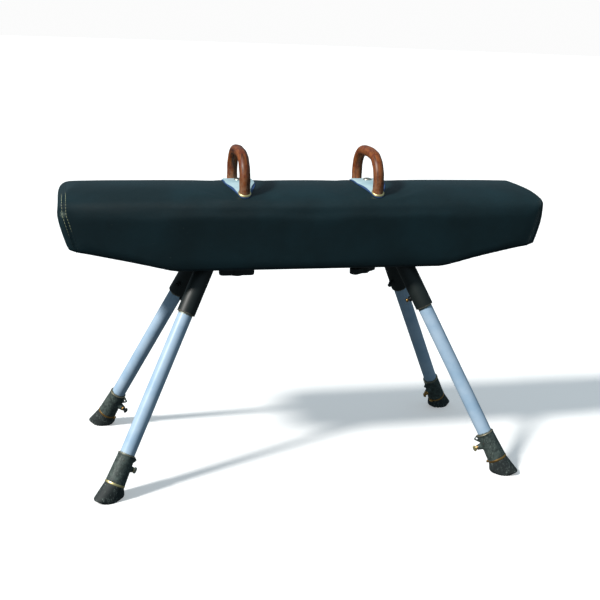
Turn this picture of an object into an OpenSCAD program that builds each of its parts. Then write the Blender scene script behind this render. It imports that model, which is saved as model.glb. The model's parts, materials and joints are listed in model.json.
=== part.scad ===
// Pommel horse: a padded body on four telescopic legs, with two sliding pommels.
// Frame: millimetres, origin on the floor under the middle of the body,
// +X along the body, +Z up. Legs are named by side: f front (-Y), r rear (+Y), l left (-X), r right (+X).

/* [Body] */
// Length of the body over its ends
body_len = 1600; // [1500:10:1950]
// Width of the body across the padded sides
body_w = 352; // [340:1:430]
// Height of the body from its flat underside to the top of the crown
body_h = 259; // [230:1:320]
// Height of the underside above the floor with the legs closed
body_clear = 697; // [580:1:850]
// Length of the flat stretch of the underside
flat_len = 880; // [860:10:1060]
// Height at which the rising underside meets the slanted end
chin_rise = 72; // [40:1:90]
// How far the chin stands back from the end of the body
chin_back = 34; // [20:1:80]
// Height at which the slanted end turns upright
nose_rise = 183; // [150:1:190]
// Radius of the crown across the body
crown_r = 370; // [340:1:500]
// Radius where the crown rolls over into the side
shoulder_r = 35; // [15:1:50]
// Radius along the lower edges of the sides
hem_r = 14; // [6:1:20]
// Radius where the top rolls over into the end
end_r = 72; // [20:1:75]
// Radius of the upright corners in plan
corner_r = 34; // [12:1:45]
// Width of the end cap's turned edge, from the end to its seam
seam_in = 22; // [10:1:45]

/* [Shell and core] */
// Thickness of the leather cover
cover_t = 3; // [2:0.5:5]
// Thickness of the felt at the sides
side_felt = 23; // [12:1:35]
// Thickness of the felt at the ends
end_felt = 28; // [15:1:40]
// Thickness of the padding over the core's long edges
top_felt = 19.2; // [12:0.2:30]
// Thickness of the core's boards
board_t = 18; // [12:1:25]
// Thickness of the side planks
plank_t = 22; // [15:1:24]
// Length of the solid wood block at each end, from the body's end
block_len = 160; // [120:5:220]

/* [Legs] */
// Distance of a leg's axis from the middle along X, at the underside
hip_x = 335.5; // [325:0.5:380]
// Distance of a leg's axis from the middle along Y, at the underside
hip_y = 86; // [80:0.5:90]
// Tilt of each leg off the vertical
leg_tilt = 30.2; // [24:0.1:32]
// Heading of each leg, measured from the body's length
leg_heading = 34.7; // [30:0.1:40]
// Outer diameter of the telescopic leg tube
tube_d = 48.3; // [40:0.1:52]
// Wall of the leg tube
tube_wall = 3.2; // [2:0.1:5]
// Wall of the fixed sleeve
sleeve_wall = 5.1; // [3:0.1:6]
// Gap between tube and sleeve bore, on the radius
sleeve_gap = 0.9; // [0.5:0.1:1.5]
// Length of sleeve below the underside, along the leg
sleeve_drop = 169; // [120:1:200]
// Length of sleeve inside the body, along the leg
sleeve_rise = 177; // [140:1:185]
// Thickness of the cap that closes the sleeve's top
cap_t = 5; // [3:1:8]
// Thickness of the steel plate that carries two sleeves
leg_plate_t = 6; // [4:1:8]

/* [Feet] */
// Length of the cast foot socket along the leg
socket_len = 98; // [80:1:130]
// Wall of the socket at its rim
socket_wall = 4; // [3.5:0.5:6]
// Growth of the socket's radius from its rim down to its band
socket_flare = 3.5; // [2:0.5:6]
// Length of the hoof along the leg axis, from the band to the floor
hoof_len = 58; // [52:1:75]
// Gap between tube and socket bore, on the radius
socket_gap = 0.35; // [0.3:0.05:1]
// Turn of the toe from the leg's heading towards the body's length
toe_turn = 12; // [0:1:25]
// Diameter of the hole in the anchor lug
lug_hole_d = 8; // [6:0.5:9]
// Thickness of the anchor lug
lug_t = 8; // [6:1:12]

/* [Clamp screws] */
// Diameter of the sleeve clamp screw
sleeve_screw_d = 8; // [6:1:10]
// Diameter of the foot clamp screw
foot_screw_d = 10; // [8:1:12]
// Running clearance of a screw in its hole, on the radius
screw_gap = 0.08; // [0.02:0.01:0.1]
// Clearance between a screw's tip and the tube
tip_gap = 0.4; // [0.3:0.1:1]
// Height of the sleeve clamp screw above the sleeve's lower end
sleeve_screw_up = 42; // [30:1:60]
// Distance of the foot clamp screw below the socket's rim
foot_screw_down = 42; // [40:1:60]

/* [Pommels] */
// Distance of each pommel from the middle of the body
pommel_x = 220; // [200:1:225]
// Travel of a pommel towards the middle
pommel_in = 18; // [5:1:25]
// Travel of a pommel towards the end
pommel_out = 5; // [2:1:8]
// Distance of each grip leg from the body's middle plane
grip_half = 127; // [120:0.5:145]
// Height of the grip's top over the crown
grip_h = 118; // [105:1:130]
// Diameter of the grip
grip_d = 35; // [28:0.5:42]
// Radius of the grip's centre line where a leg turns into the top
grip_bend = 78; // [60:1:90]
// Half angle of the arc over the top of the grip
grip_arc = 8; // [5:1:45]
// Thickness of the packing under the base plate
packing_t = 2; // [1.5:0.5:5]
// Thickness of the base plate
base_t = 3.5; // [3:0.5:8]
// Half width of the base plate in its middle
base_half = 47; // [40:1:58]
// Width of the base plate's rim round each foot of the grip
base_rim = 2; // [2:0.5:8]
// Diameter of the draw rod
rod_d = 16; // [12:0.1:22]
// Length of the hand nut from tip to tip
nut_span = 128; // [90:1:140]
// Depth of the hand nut below the rail
nut_h = 51; // [40:1:60]
// Turn of the right hand nut about its rod
nut_turn = 37; // [0:1:90]

/* [Hidden] */
$fn = 96;
eps = 0.01;
fit_gap = 0.3;                     // smallest gap between pieces that move apart
slot_gap = 1.5;                    // gap round the draw rod in its slots
bolt_gap = 0.2;                    // gap round the leg plates' bolts in board and cover
crown_z = body_h - crown_r;        // centre of the crown's arc above the underside
half_len = body_len / 2;
half_w = body_w / 2;
leg_len = body_clear / cos(leg_tilt);
sleeve_bore = tube_d + 2 * sleeve_gap;
sleeve_d = sleeve_bore + 2 * sleeve_wall;
socket_bore = tube_d + 2 * socket_gap;
rim_d = socket_bore + 2 * socket_wall;
band_d = rim_d + 2 * socket_flare;
tube_top = sleeve_rise - cap_t - fit_gap;
band_z = -leg_len + hoof_len;      // band plane, along the leg
rim_z = band_z + socket_len;
socket_floor = 6;                  // metal under the tube in the socket
neck_h = 4;                        // height of each neck under the band
neck_d = band_d - 2;
core_half = half_w - cover_t - side_felt;
// The core is as high as the crown over its long edges allows
core_top = crown_z + sqrt(pow(crown_r, 2) - pow(core_half, 2)) - cover_t - top_felt;
rail_t = 5;
rail_len = 120;
rail_w = 60;
tie_z = 96;                        // height of the sleeve tie above the underside
tie_t = 5;
tack_h = 1.6;
dome_d = rod_d + 14;               // head of the draw rod
dome_h = 4;
base_end_r = grip_d / 2 + base_rim;
base_r0 = crown_r + fit_gap;       // underside of the packing
base_r1 = base_r0 + packing_t;
base_r2 = base_r1 + base_t;        // top of the base plate
ferrule_h = 4;
ferrule_d = 2 * base_end_r - 1;
sleeve_nut_h = 8;
sleeve_nut_d = sleeve_screw_d + 11;
sleeve_head_d = sleeve_screw_d + 7;
sleeve_head_gap = 6;               // bare screw between nut and head
boss_len = 16;
boss_d = foot_screw_d + 9;         // outer end of the screw boss
boss_root_d = boss_d + 11;
foot_nut_h = 4;
foot_head_gap = 4;
head_len = 12;                     // paddle head of the foot screw
head_w = foot_screw_d + 11;
head_t = 6;

leather = "#1d3b40";
wood = "#c9a46a";
felt = "#8d8a80";
steel_black = "#2b2f2f";
blue = "#a9d3ea";
iron = "#4c5855";
rubber = "#33393a";
brass = "#b98a4a";
zinc = "#b9bcb8";
grip_tan = "#a8683f";
base_blue = "#a7cbd4";

// ---------- frames of reference ----------

// Heading of the leg on side (sx, sy), as an angle about +Z
function heading(sx, sy) = atan2(sy * sin(leg_heading), sx * cos(leg_heading));

// Leg frame: origin at the underside, +Z up the leg, +X outboard, -X inboard
module on_leg(sx, sy)
    translate([sx * hip_x, sy * hip_y, body_clear])
        rotate([0, 0, heading(sx, sy)]) rotate([0, -leg_tilt, 0]) children();

// Screw frame on a leg: +X points out along the screw, z up the leg, turned about the leg
module on_screw(z, turn) translate([0, 0, z]) rotate([0, 0, 180 + turn]) children();

// The sleeve screws face inboard on the right legs and the middle plane on the left ones
function sleeve_turn(sx, sy) = sx > 0 ? 0 : -90 * sy;

// Sole frame: on the floor under the hoof, +X towards the toe
module on_sole(sx, sy)
    translate([sx * (hip_x + sole_reach() * cos(leg_heading)),
               sy * (hip_y + sole_reach() * sin(leg_heading)), 0])
        rotate([0, 0, heading(sx, sy) - sx * sy * toe_turn]) children();
function sole_reach() = body_clear * tan(leg_tilt) - 8;

module on_body() translate([0, 0, body_clear]) children();

// Bar along +X from x0 to x1
module bar(d, x0, x1, d2 = undef)
    translate([x0, 0, 0]) rotate([0, 90, 0])
        cylinder(d1 = d, d2 = is_undef(d2) ? d : d2, h = x1 - x0);

// ---------- the body's form ----------

function unit(v) = v / norm(v);
function inward(a, b) = let(d = unit(b - a)) [-d[1], d[0]];
// Corner b of a polygon, moved in by t from both of its edges
function inset_point(a, b, c, t) =
    let(m = inward(a, b), n = inward(b, c)) b + t * (m + n) / (1 + m * n);

hem = [flat_len / 2, 0];
chin = [half_len - chin_back, chin_rise];
nose = [half_len, nose_rise];
brow = [half_len, body_h - end_r];

// Right half of the side elevation, pulled in by t, from the underside to the top
function half_elevation(t) = [
    inset_point([0, 0], hem, chin, t),
    inset_point(hem, chin, nose, t),
    inset_point(chin, nose, brow, t),
    [half_len - t, body_h - end_r],
    [half_len - end_r, body_h - t]
];

// A right half outline, closed by its own mirror image on the left
function both_sides(half) =
    concat(half, [for (i = [len(half) - 1 : -1 : 0]) [-half[i][0], half[i][1]]]);

module elevation(t) {
    polygon(both_sides(half_elevation(t)));
    for (sx = [-1, 1])
        translate([sx * (half_len - end_r), body_h - end_r]) circle(r = end_r - t);
}

// Height of the shoulder arc's centre, where crown and side are tangent to it
shoulder_z = crown_z + sqrt(pow(crown_r - shoulder_r, 2) - pow(half_w - shoulder_r, 2));

module cross_section(t) {
    y_c = half_w - shoulder_r;
    lean = atan2(y_c, shoulder_z - crown_z);
    y_t = (crown_r - t) * sin(lean);
    z_t = crown_z + (crown_r - t) * cos(lean);
    for (side = [0, 1]) mirror([side, 0]) {
        translate([y_c, shoulder_z]) circle(r = shoulder_r - t);
        translate([half_w - hem_r, hem_r]) circle(r = hem_r - min(t, hem_r - 1));
    }
    polygon([[-half_w + hem_r, t], [half_w - hem_r, t], [half_w - t, hem_r], [half_w - t, shoulder_z],
             [y_t, z_t], [-y_t, z_t], [-half_w + t, shoulder_z], [-half_w + t, hem_r]]);
    intersection() {
        translate([0, crown_z]) circle(r = crown_r - t, $fn = 240);
        translate([-y_t, z_t - 1]) square([2 * y_t, crown_r]);
    }
}

module plan(t) {
    square([body_len - 2 * t, body_w - 2 * corner_r], center = true);
    square([body_len - 2 * corner_r, body_w - 2 * t], center = true);
    for (sx = [-1, 1], sy = [-1, 1])
        translate([sx * (half_len - corner_r), sy * (half_w - corner_r)]) circle(r = corner_r - t);
}

module along_y(w) rotate([90, 0, 0]) linear_extrude(w, center = true) children();
module along_x(l) rotate([90, 0, 90]) linear_extrude(l, center = true) children();

// The padded body's outer form, pulled in by t all round
module body_form(t) intersection() {
    along_y(body_w) elevation(t);
    along_x(body_len) cross_section(t);
    translate([0, 0, -1]) linear_extrude(body_h + 2) plan(t);
}

// Everything inboard of a line that runs parallel to both ends, at distance t
module inboard(t) {
    low = -300;
    high = 600;
    run = (nose[0] - chin[0]) / (nose[1] - chin[1]);
    a = inset_point(chin, nose, brow, t);
    along_y(2 * body_w) polygon(both_sides([[a[0] - (a[1] - low) * run, low], a, [a[0], high]]));
}

// Holes for the sleeves, with a gap round them
module sleeve_holes(gap)
    for (sx = [-1, 1], sy = [-1, 1]) translate([0, 0, -body_clear]) on_leg(sx, sy)
        translate([0, 0, -sleeve_d])
            cylinder(d = sleeve_d + 2 * gap, h = sleeve_d + sleeve_rise + 1);

// Places of the bolts that hold the leg plates
module at_bolts() for (sx = [-1, 1], x = bolt_x, sy = [-1, 1])
    translate([sx * x, sy * bolt_y, 0]) children();

// Slots for the draw rods, from z0 to z1
module rod_slots(z0, z1, gap = slot_gap) for (sx = [-1, 1]) rod_slot(sx, z0, z1, gap);

module rod_slot(sx, z0, z1, gap = slot_gap) {
    x_out = sx * (pommel_x + pommel_out);
    x_in = sx * (pommel_x - pommel_in);
    for (x = [x_out, x_in]) translate([x, 0, z0]) cylinder(d = rod_d + 2 * gap, h = z1 - z0);
    translate([min(x_in, x_out), -rod_d / 2 - gap, z0])
        cube([pommel_out + pommel_in, rod_d + 2 * gap, z1 - z0]);
}

// ---------- cover and padding ----------

module shell() difference() {
    body_form(0);
    body_form(cover_t);
    sleeve_holes(1);
    rod_slots(-1, body_h + 1);
    at_bolts() cylinder(d = bolt_d + 2 * bolt_gap, h = 3 * cover_t, center = true);
}

module cover() color(leather) on_body() intersection() {
    shell();
    inboard(seam_in);
}

module end_cap(sx) color(leather) on_body() difference() {
    shell();
    inboard(seam_in);
    mirror([sx > 0 ? 0 : 1, 0, 0])
        translate([-body_len, -body_w, -1]) cube([body_len, 2 * body_w, body_h + 2]);
}

module core_form() intersection() {
    along_y(2 * core_half) elevation(cover_t);
    inboard(cover_t + end_felt);
    translate([-half_len, -core_half, 0]) cube([body_len, 2 * core_half, core_top]);
}

module padding() color(felt) on_body() difference() {
    body_form(cover_t);
    core_form();
    sleeve_holes(1);
    rod_slots(-1, body_h + 1);
}

// Round-headed tacks that hold the cover under the body
module cover_tacks() color(brass) on_body() {
    tacks = 15;                    // in each row
    pitch = (flat_len - 40) / (tacks - 1);
    for (sy = [-1, 1], i = [0 : tacks - 1])
        translate([pitch * (i - (tacks - 1) / 2), sy * (core_half - plank_t / 2), -tack_h])
            cylinder(d1 = 5, d2 = 9, h = tack_h);
}

// ---------- wooden core ----------

inner_half = core_half - plank_t;  // half width between the side planks
block_x = half_len - block_len;    // where the end blocks begin

module core_top_board() color(wood) on_body() difference() {
    translate([-block_x, -inner_half, core_top - board_t])
        cube([2 * block_x, 2 * inner_half, board_t]);
    rod_slots(-1, core_top + 1);
}

module core_bottom_board() color(wood) on_body() difference() {
    translate([-flat_len / 2, -inner_half, cover_t]) cube([flat_len, 2 * inner_half, board_t]);
    sleeve_holes(1);
    rod_slots(-1, plate_z + 1);
    at_bolts() cylinder(d = bolt_d + 2 * bolt_gap, h = 3 * plate_z, center = true);
}

module core_slope(sx) color(wood) on_body() intersection() {
    difference() {
        along_y(2 * inner_half) elevation(cover_t);
        along_y(2 * inner_half + 2) elevation(cover_t + board_t);
    }
    mirror([sx > 0 ? 0 : 1, 0, 0])
        translate([flat_len / 2, -body_w, 0]) cube([block_x - flat_len / 2, 2 * body_w, core_top]);
}

module core_side(sy) color(wood) on_body() intersection() {
    core_form();
    translate([-half_len, sy > 0 ? inner_half : -core_half, -1]) cube([body_len, plank_t, body_h]);
}

module core_block(sx) color(wood) on_body() intersection() {
    core_form();
    mirror([sx > 0 ? 0 : 1, 0, 0])
        translate([block_x, -inner_half, -1]) cube([block_len, 2 * inner_half, body_h]);
}

module core_ribs() color(wood) on_body() intersection() {
    along_y(2 * inner_half) elevation(cover_t + board_t);
    for (x = [-flat_len / 2 - 20, -150, 132, flat_len / 2 + 2])
        translate([x, -inner_half, 0]) cube([board_t, 2 * inner_half, core_top - board_t]);
}

// ---------- leg mountings ----------

plate_z = cover_t + board_t;       // top of the bottom board
bolt_d = 10;
bolt_edge = 12;                    // from a bolt's axis to the plate's edge
bolt_x = [hip_x - 58, hip_x + 49];
bolt_y = inner_half - bolt_edge - 1;

module leg_plate(sx) color(steel_black) on_body() difference() {
    translate([sx > 0 ? bolt_x[0] - bolt_edge : -bolt_x[1] - bolt_edge, -inner_half + 1, plate_z])
        cube([bolt_x[1] - bolt_x[0] + 2 * bolt_edge, 2 * inner_half - 2, leg_plate_t]);
    sleeve_holes(0);
    at_bolts() cylinder(d = bolt_d, h = 2 * (plate_z + leg_plate_t));
}

module sleeve_tie(sx) color(steel_black) on_body() difference() {
    x_c = hip_x - tie_z * tan(leg_tilt) * cos(leg_heading);
    tie_half = sleeve_d / 2 + 16;
    translate([sx * x_c - tie_half, -inner_half + 1, tie_z])
        cube([2 * tie_half, 2 * inner_half - 2, tie_t]);
    sleeve_holes(0);
    rod_slots(tie_z - 1, tie_z + tie_t + 1);
}

module plate_bolts() color(zinc) on_body() at_bolts() {
    head_h = 4;
    nut_top = plate_z + leg_plate_t + 8;
    translate([0, 0, -head_h]) cylinder(d1 = bolt_d + 2, d2 = 2 * bolt_d, h = head_h);
    cylinder(d = bolt_d, h = nut_top + 4);
    translate([0, 0, plate_z + leg_plate_t])
        cylinder(d = bolt_d + 8, h = nut_top - plate_z - leg_plate_t, $fn = 6);
}

module clamp_rail(sx) color(steel_black) on_body() difference() {
    translate([sx * (pommel_x - 5) - rail_len / 2, -rail_w / 2, -rail_t])
        cube([rail_len, rail_w, rail_t]);
    rod_slots(-rail_t - 1, 1);
}

// ---------- sleeves and their clamp screws ----------

sleeve_screw_z = -sleeve_drop + sleeve_screw_up;

module sleeve(sx, sy) color(steel_black) on_leg(sx, sy) difference() {
    translate([0, 0, -sleeve_drop]) cylinder(d = sleeve_d, h = sleeve_drop + sleeve_rise);
    translate([0, 0, -sleeve_drop - 1])
        cylinder(d = sleeve_bore, h = sleeve_drop + sleeve_rise - cap_t + 1);
    on_screw(sleeve_screw_z, sleeve_turn(sx, sy))
        bar(sleeve_screw_d + 2 * screw_gap, tube_d / 2, sleeve_d);
}

// Round nuts welded to the sleeves, saddled to the tube
module sleeve_nuts() color(steel_black)
    for (sx = [-1, 1], sy = [-1, 1]) on_leg(sx, sy) difference() {
        on_screw(sleeve_screw_z, sleeve_turn(sx, sy)) difference() {
            bar(sleeve_nut_d, sleeve_d / 2 - 3, sleeve_d / 2 + sleeve_nut_h);
            bar(sleeve_screw_d + 2 * screw_gap, 0, sleeve_d);
        }
        translate([0, 0, -sleeve_drop]) cylinder(d = sleeve_d, h = sleeve_drop);
    }

module sleeve_screw(sx, sy) color(sx > 0 && sy < 0 ? brass : steel_black) on_leg(sx, sy)
    on_screw(sleeve_screw_z, sleeve_turn(sx, sy)) {
        head = sleeve_d / 2 + sleeve_nut_h + sleeve_head_gap;
        bar(sleeve_screw_d, tube_d / 2 + tip_gap, head + eps);
        translate([head, 0, 0]) rotate([0, 90, 0]) cylinder(d = sleeve_head_d, h = 6, $fn = 6);
    }

module leg_tube(sx, sy) color(blue) on_leg(sx, sy) difference() {
    bottom = band_z + socket_floor + fit_gap;
    translate([0, 0, bottom]) cylinder(d = tube_d, h = tube_top - bottom);
    translate([0, 0, bottom - 1]) cylinder(d = tube_d - 2 * tube_wall, h = tube_top - bottom + 2);
}

// ---------- feet ----------

foot_screw_z = rim_z - foot_screw_down;

module foot_socket(sx, sy) color(iron) on_leg(sx, sy) difference() {
    union() {
        translate([0, 0, band_z + neck_h]) cylinder(d1 = band_d, d2 = rim_d, h = socket_len - neck_h);
        translate([0, 0, band_z]) cylinder(d = neck_d, h = neck_h);
        on_screw(foot_screw_z, 0)
            bar(boss_root_d, rim_d / 2 - 6, rim_d / 2 + boss_len, boss_d);
        anchor_lug();
    }
    translate([0, 0, band_z + socket_floor]) cylinder(d = socket_bore, h = socket_len);
    on_screw(foot_screw_z, 0) bar(foot_screw_d + 2 * screw_gap, 0, band_d);
}

// Pointed ear with an eye for a floor chain
module anchor_lug() {
    root = rim_d / 2 - 1;
    difference() {
        translate([0, 0, rim_z]) rotate([90, 0, 0]) linear_extrude(lug_t, center = true)
            polygon([[-root, 0], [-root - 5, 0], [-root - 19, -9], [-root - 17, -14], [-root, -32]]);
        translate([-root - 9, 0, rim_z - 11]) rotate([90, 0, 0])
            cylinder(d = lug_hole_d, h = 2 * lug_t, center = true);
    }
}

// Rubber hoof: a neck under the band, a round heel, a flat sole and a lifted toe
module hoof(sx, sy) color(rubber) {
    on_leg(sx, sy) translate([0, 0, band_z - neck_h]) cylinder(d = neck_d, h = neck_h);
    hull() {
        on_leg(sx, sy) translate([0, 0, band_z - neck_h - 1]) cylinder(d = band_d, h = 1, $fn = 40);
        on_sole(sx, sy) {
            translate([-8, 0, 0]) cylinder(r = 22, h = 2, $fn = 32);
            translate([4, 0, 0]) cylinder(r = 30, h = 2, $fn = 32);
            translate([26, 0, 11]) cylinder(r = 26, h = 3, $fn = 32);
            for (sy = [-1, 1]) translate([-29, sy * 9, 17]) sphere(r = 16, $fn = 24);
        }
    }
}

// Clamp band round the two necks with its ear, and the lock nut on the screw boss
module foot_trim(sx, sy) color(brass) on_leg(sx, sy) {
    difference() {
        union() {
            translate([0, 0, band_z - neck_h + 0.5]) cylinder(d = band_d + 1.6, h = 2 * neck_h - 1);
            translate([-band_d / 2 - 7, -5, band_z - 3]) cube([10, 10, 6]);
        }
        translate([0, 0, band_z - 2 * neck_h]) cylinder(d = neck_d, h = 4 * neck_h);
    }
    on_screw(foot_screw_z, 0) difference() {
        bar(boss_d - 1, rim_d / 2 + boss_len, rim_d / 2 + boss_len + foot_nut_h);
        bar(foot_screw_d + 2 * screw_gap, 0, band_d + 50);
    }
}

module foot_screw(sx, sy) color(zinc) on_leg(sx, sy) on_screw(foot_screw_z, 0) {
    head = rim_d / 2 + boss_len + foot_nut_h + foot_head_gap;
    bar(foot_screw_d, tube_d / 2 + tip_gap, head + 2);
    intersection() {
        bar(head_w, head, head + head_len);
        translate([head, -head_t / 2, -head_w]) cube([head_len, head_t, 2 * head_w]);
    }
}

// ---------- pommels ----------

// Plan with two round ends under the grip's feet; corners is one quarter of its flank, [x, y] from the middle
module base_plan(end_r, corners) {
    quarter = concat(corners, [[end_r, grip_half]]);
    right = concat([for (i = [len(quarter) - 1 : -1 : 0]) [quarter[i][0], -quarter[i][1]]], quarter);
    polygon(both_sides(right));
    for (sy = [-1, 1]) translate([0, sy * grip_half]) circle(r = end_r);
}

base_corners = [[base_half, 42], [30, 80]];               // broad middle, then a narrow neck
packing_corners = [[base_half + 4, 36], [base_half - 3, 66], [31, 102]];

// Solid disc of radius r on the crown's axis, along the body
module crown_drum(r) translate([0, 0, crown_z]) rotate([0, 90, 0])
    cylinder(r = r, h = 160, center = true, $fn = 240);

// Layer between two radii over the crown, cut to a plan
module crown_layer(r0, r1) intersection() {
    difference() {
        crown_drum(r1);
        crown_drum(r0);
    }
    linear_extrude(body_h + 60) children();
}

module on_pommel(sx) on_body() translate([sx * pommel_x, 0, 0]) children();

module pommel_packing(sx) color(rubber) on_pommel(sx) difference() {
    crown_layer(base_r0, base_r1) base_plan(base_end_r + 1.5, packing_corners);
    cylinder(d = rod_d + 2 * fit_gap, h = 2 * body_h);
}

module pommel_base(sx) color(base_blue) on_pommel(sx) {
    difference() {
        crown_layer(base_r1, base_r2) base_plan(base_end_r, base_corners);
        cylinder(d = rod_d, h = 2 * body_h);
    }
    ferrules();
}

// Raised rims round the feet of the grip
module ferrules() for (sy = [-1, 1]) intersection() {
    difference() {
        crown_drum(base_r2 + ferrule_h);
        crown_drum(base_r2 - 1);
    }
    translate([0, sy * grip_half, 0]) difference() {
        cylinder(d = ferrule_d, h = body_h + 60);
        translate([0, 0, -1]) cylinder(d = grip_d, h = body_h + 62);
    }
}

// Centre line of the grip: two upright legs, two bends and a flatter arc between them
arc_r = (grip_half - grip_bend * (1 - sin(grip_arc))) / sin(grip_arc);
grip_top = body_h + grip_h - grip_d / 2;
bend_z = grip_top - arc_r * (1 - cos(grip_arc)) - grip_bend * cos(grip_arc);

module grip_arc_piece(y, z, r, from, sweep)
    translate([0, y, z]) rotate([90, 0, 90]) rotate([0, 0, from])
        rotate_extrude(angle = sweep) translate([r, 0]) circle(d = grip_d, $fn = 64);

// One upright leg of the grip, cut to the base plate's curve
module grip_leg() difference() {
    translate([0, 0, body_h - 40]) cylinder(d = grip_d, h = bend_z - body_h + 40);
    translate([0, -grip_half, 0]) crown_drum(base_r2);
}

// Filled joint where two stretches of the grip meet
module grip_joint(y, z) translate([0, y, z]) sphere(d = grip_d + 0.5);

module pommel_grip(sx) color(grip_tan) on_pommel(sx) {
    gap = 0.05;                    // turn left open between stretches, inside each joint
    seam_y = arc_r * sin(grip_arc);
    seam_z = grip_top - arc_r * (1 - cos(grip_arc));
    bend_sweep = 90 - grip_arc - 2 * gap;
    grip_arc_piece(0, grip_top - arc_r, arc_r, 90 - grip_arc + gap, 2 * grip_arc - 2 * gap);
    grip_arc_piece(grip_half - grip_bend, bend_z, grip_bend, gap, bend_sweep);
    grip_arc_piece(grip_bend - grip_half, bend_z, grip_bend, 90 + grip_arc + gap, bend_sweep);
    for (side = [0, 1]) mirror([0, side, 0]) {
        grip_joint(seam_y, seam_z);
        grip_joint(grip_half, bend_z);
        translate([0, grip_half, 0]) grip_leg();
    }
}

module draw_rod(sx) color(zinc) on_pommel(sx) {
    low = -rail_t - fit_gap - nut_h + 4;
    seat = crown_z + base_r2;
    translate([0, 0, low]) cylinder(d = rod_d, h = seat - low);
    translate([0, 0, seat]) cylinder(d1 = dome_d, d2 = dome_d - 12, h = dome_h);
}

// Two-armed nut under the body that clamps the pommel down
module hand_nut(sx) color(steel_black) on_pommel(sx)
    rotate([0, 0, sx > 0 ? nut_turn : 0]) difference() {
        arm_h = 24;
        arm_w = 34;
        low = -rail_t - fit_gap - nut_h;
        union() {
            translate([0, 0, low]) cylinder(d = rod_d + 30, h = nut_h);
            translate([0, 0, low + arm_h / 2]) along_y(arm_w) polygon([
                [-nut_span / 2 + 12, -arm_h / 2], [nut_span / 2 - 12, -arm_h / 2], [nut_span / 2, 0],
                [nut_span / 2 - 6, arm_h / 2], [-nut_span / 2 + 6, arm_h / 2], [-nut_span / 2, 0]]);
        }
        translate([0, 0, low - 1]) cylinder(r = rod_d / 2 + screw_gap, h = nut_h + 2);
    }

// ---------- the assembly ----------

cover();
end_cap(-1);  // end_cap_left
end_cap(1);  // end_cap_right
padding();
cover_tacks();
core_top_board();
core_bottom_board();
core_slope(-1);  // core_slope_left
core_slope(1);  // core_slope_right
core_side(-1);  // core_side_front
core_side(1);  // core_side_rear
core_block(-1);  // core_block_left
core_block(1);  // core_block_right
core_ribs();
leg_plate(-1);  // leg_plate_left
leg_plate(1);  // leg_plate_right
sleeve_tie(-1);  // sleeve_tie_left
sleeve_tie(1);  // sleeve_tie_right
plate_bolts();
clamp_rail(-1);  // clamp_rail_left
clamp_rail(1);  // clamp_rail_right
sleeve(-1, -1);  // sleeve_fl
sleeve(1, -1);  // sleeve_fr
sleeve(-1, 1);  // sleeve_rl
sleeve(1, 1);  // sleeve_rr
sleeve_nuts();
sleeve_screw(-1, -1);  // sleeve_screw_fl
sleeve_screw(1, -1);  // sleeve_screw_fr
sleeve_screw(-1, 1);  // sleeve_screw_rl
sleeve_screw(1, 1);  // sleeve_screw_rr
leg_tube(-1, -1);  // leg_tube_fl
leg_tube(1, -1);  // leg_tube_fr
leg_tube(-1, 1);  // leg_tube_rl
leg_tube(1, 1);  // leg_tube_rr
foot_socket(-1, -1);  // foot_socket_fl
foot_socket(1, -1);  // foot_socket_fr
foot_socket(-1, 1);  // foot_socket_rl
foot_socket(1, 1);  // foot_socket_rr
hoof(-1, -1);  // hoof_fl
hoof(1, -1);  // hoof_fr
hoof(-1, 1);  // hoof_rl
hoof(1, 1);  // hoof_rr
foot_trim(-1, -1);  // foot_trim_fl
foot_trim(1, -1);  // foot_trim_fr
foot_trim(-1, 1);  // foot_trim_rl
foot_trim(1, 1);  // foot_trim_rr
foot_screw(-1, -1);  // foot_screw_fl
foot_screw(1, -1);  // foot_screw_fr
foot_screw(-1, 1);  // foot_screw_rl
foot_screw(1, 1);  // foot_screw_rr
pommel_base(-1);  // pommel_base_left
pommel_base(1);  // pommel_base_right
pommel_packing(-1);  // pommel_packing_left
pommel_packing(1);  // pommel_packing_right
pommel_grip(-1);  // pommel_grip_left
pommel_grip(1);  // pommel_grip_right
draw_rod(-1);  // draw_rod_left
draw_rod(1);  // draw_rod_right
hand_nut(-1);  // hand_nut_left
hand_nut(1);  // hand_nut_right
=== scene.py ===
"""Looks of a pommel horse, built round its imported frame.

The frame gives every place and joint. This script makes the padded leather body, the turned and cast
metalwork, the rubber hoofs and the two grips, and dresses the pieces of the frame that stay.
All sizes are in metres, in the frame's own axes: +X along the body, +Z up, the front at -Y.
"""

from __future__ import annotations

import json
import logging
import math
from collections.abc import Callable, Iterable
from dataclasses import dataclass, field
from enum import Enum

import bmesh
import bpy
from mathutils import Matrix, Vector
from mathutils.bvhtree import BVHTree

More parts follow.
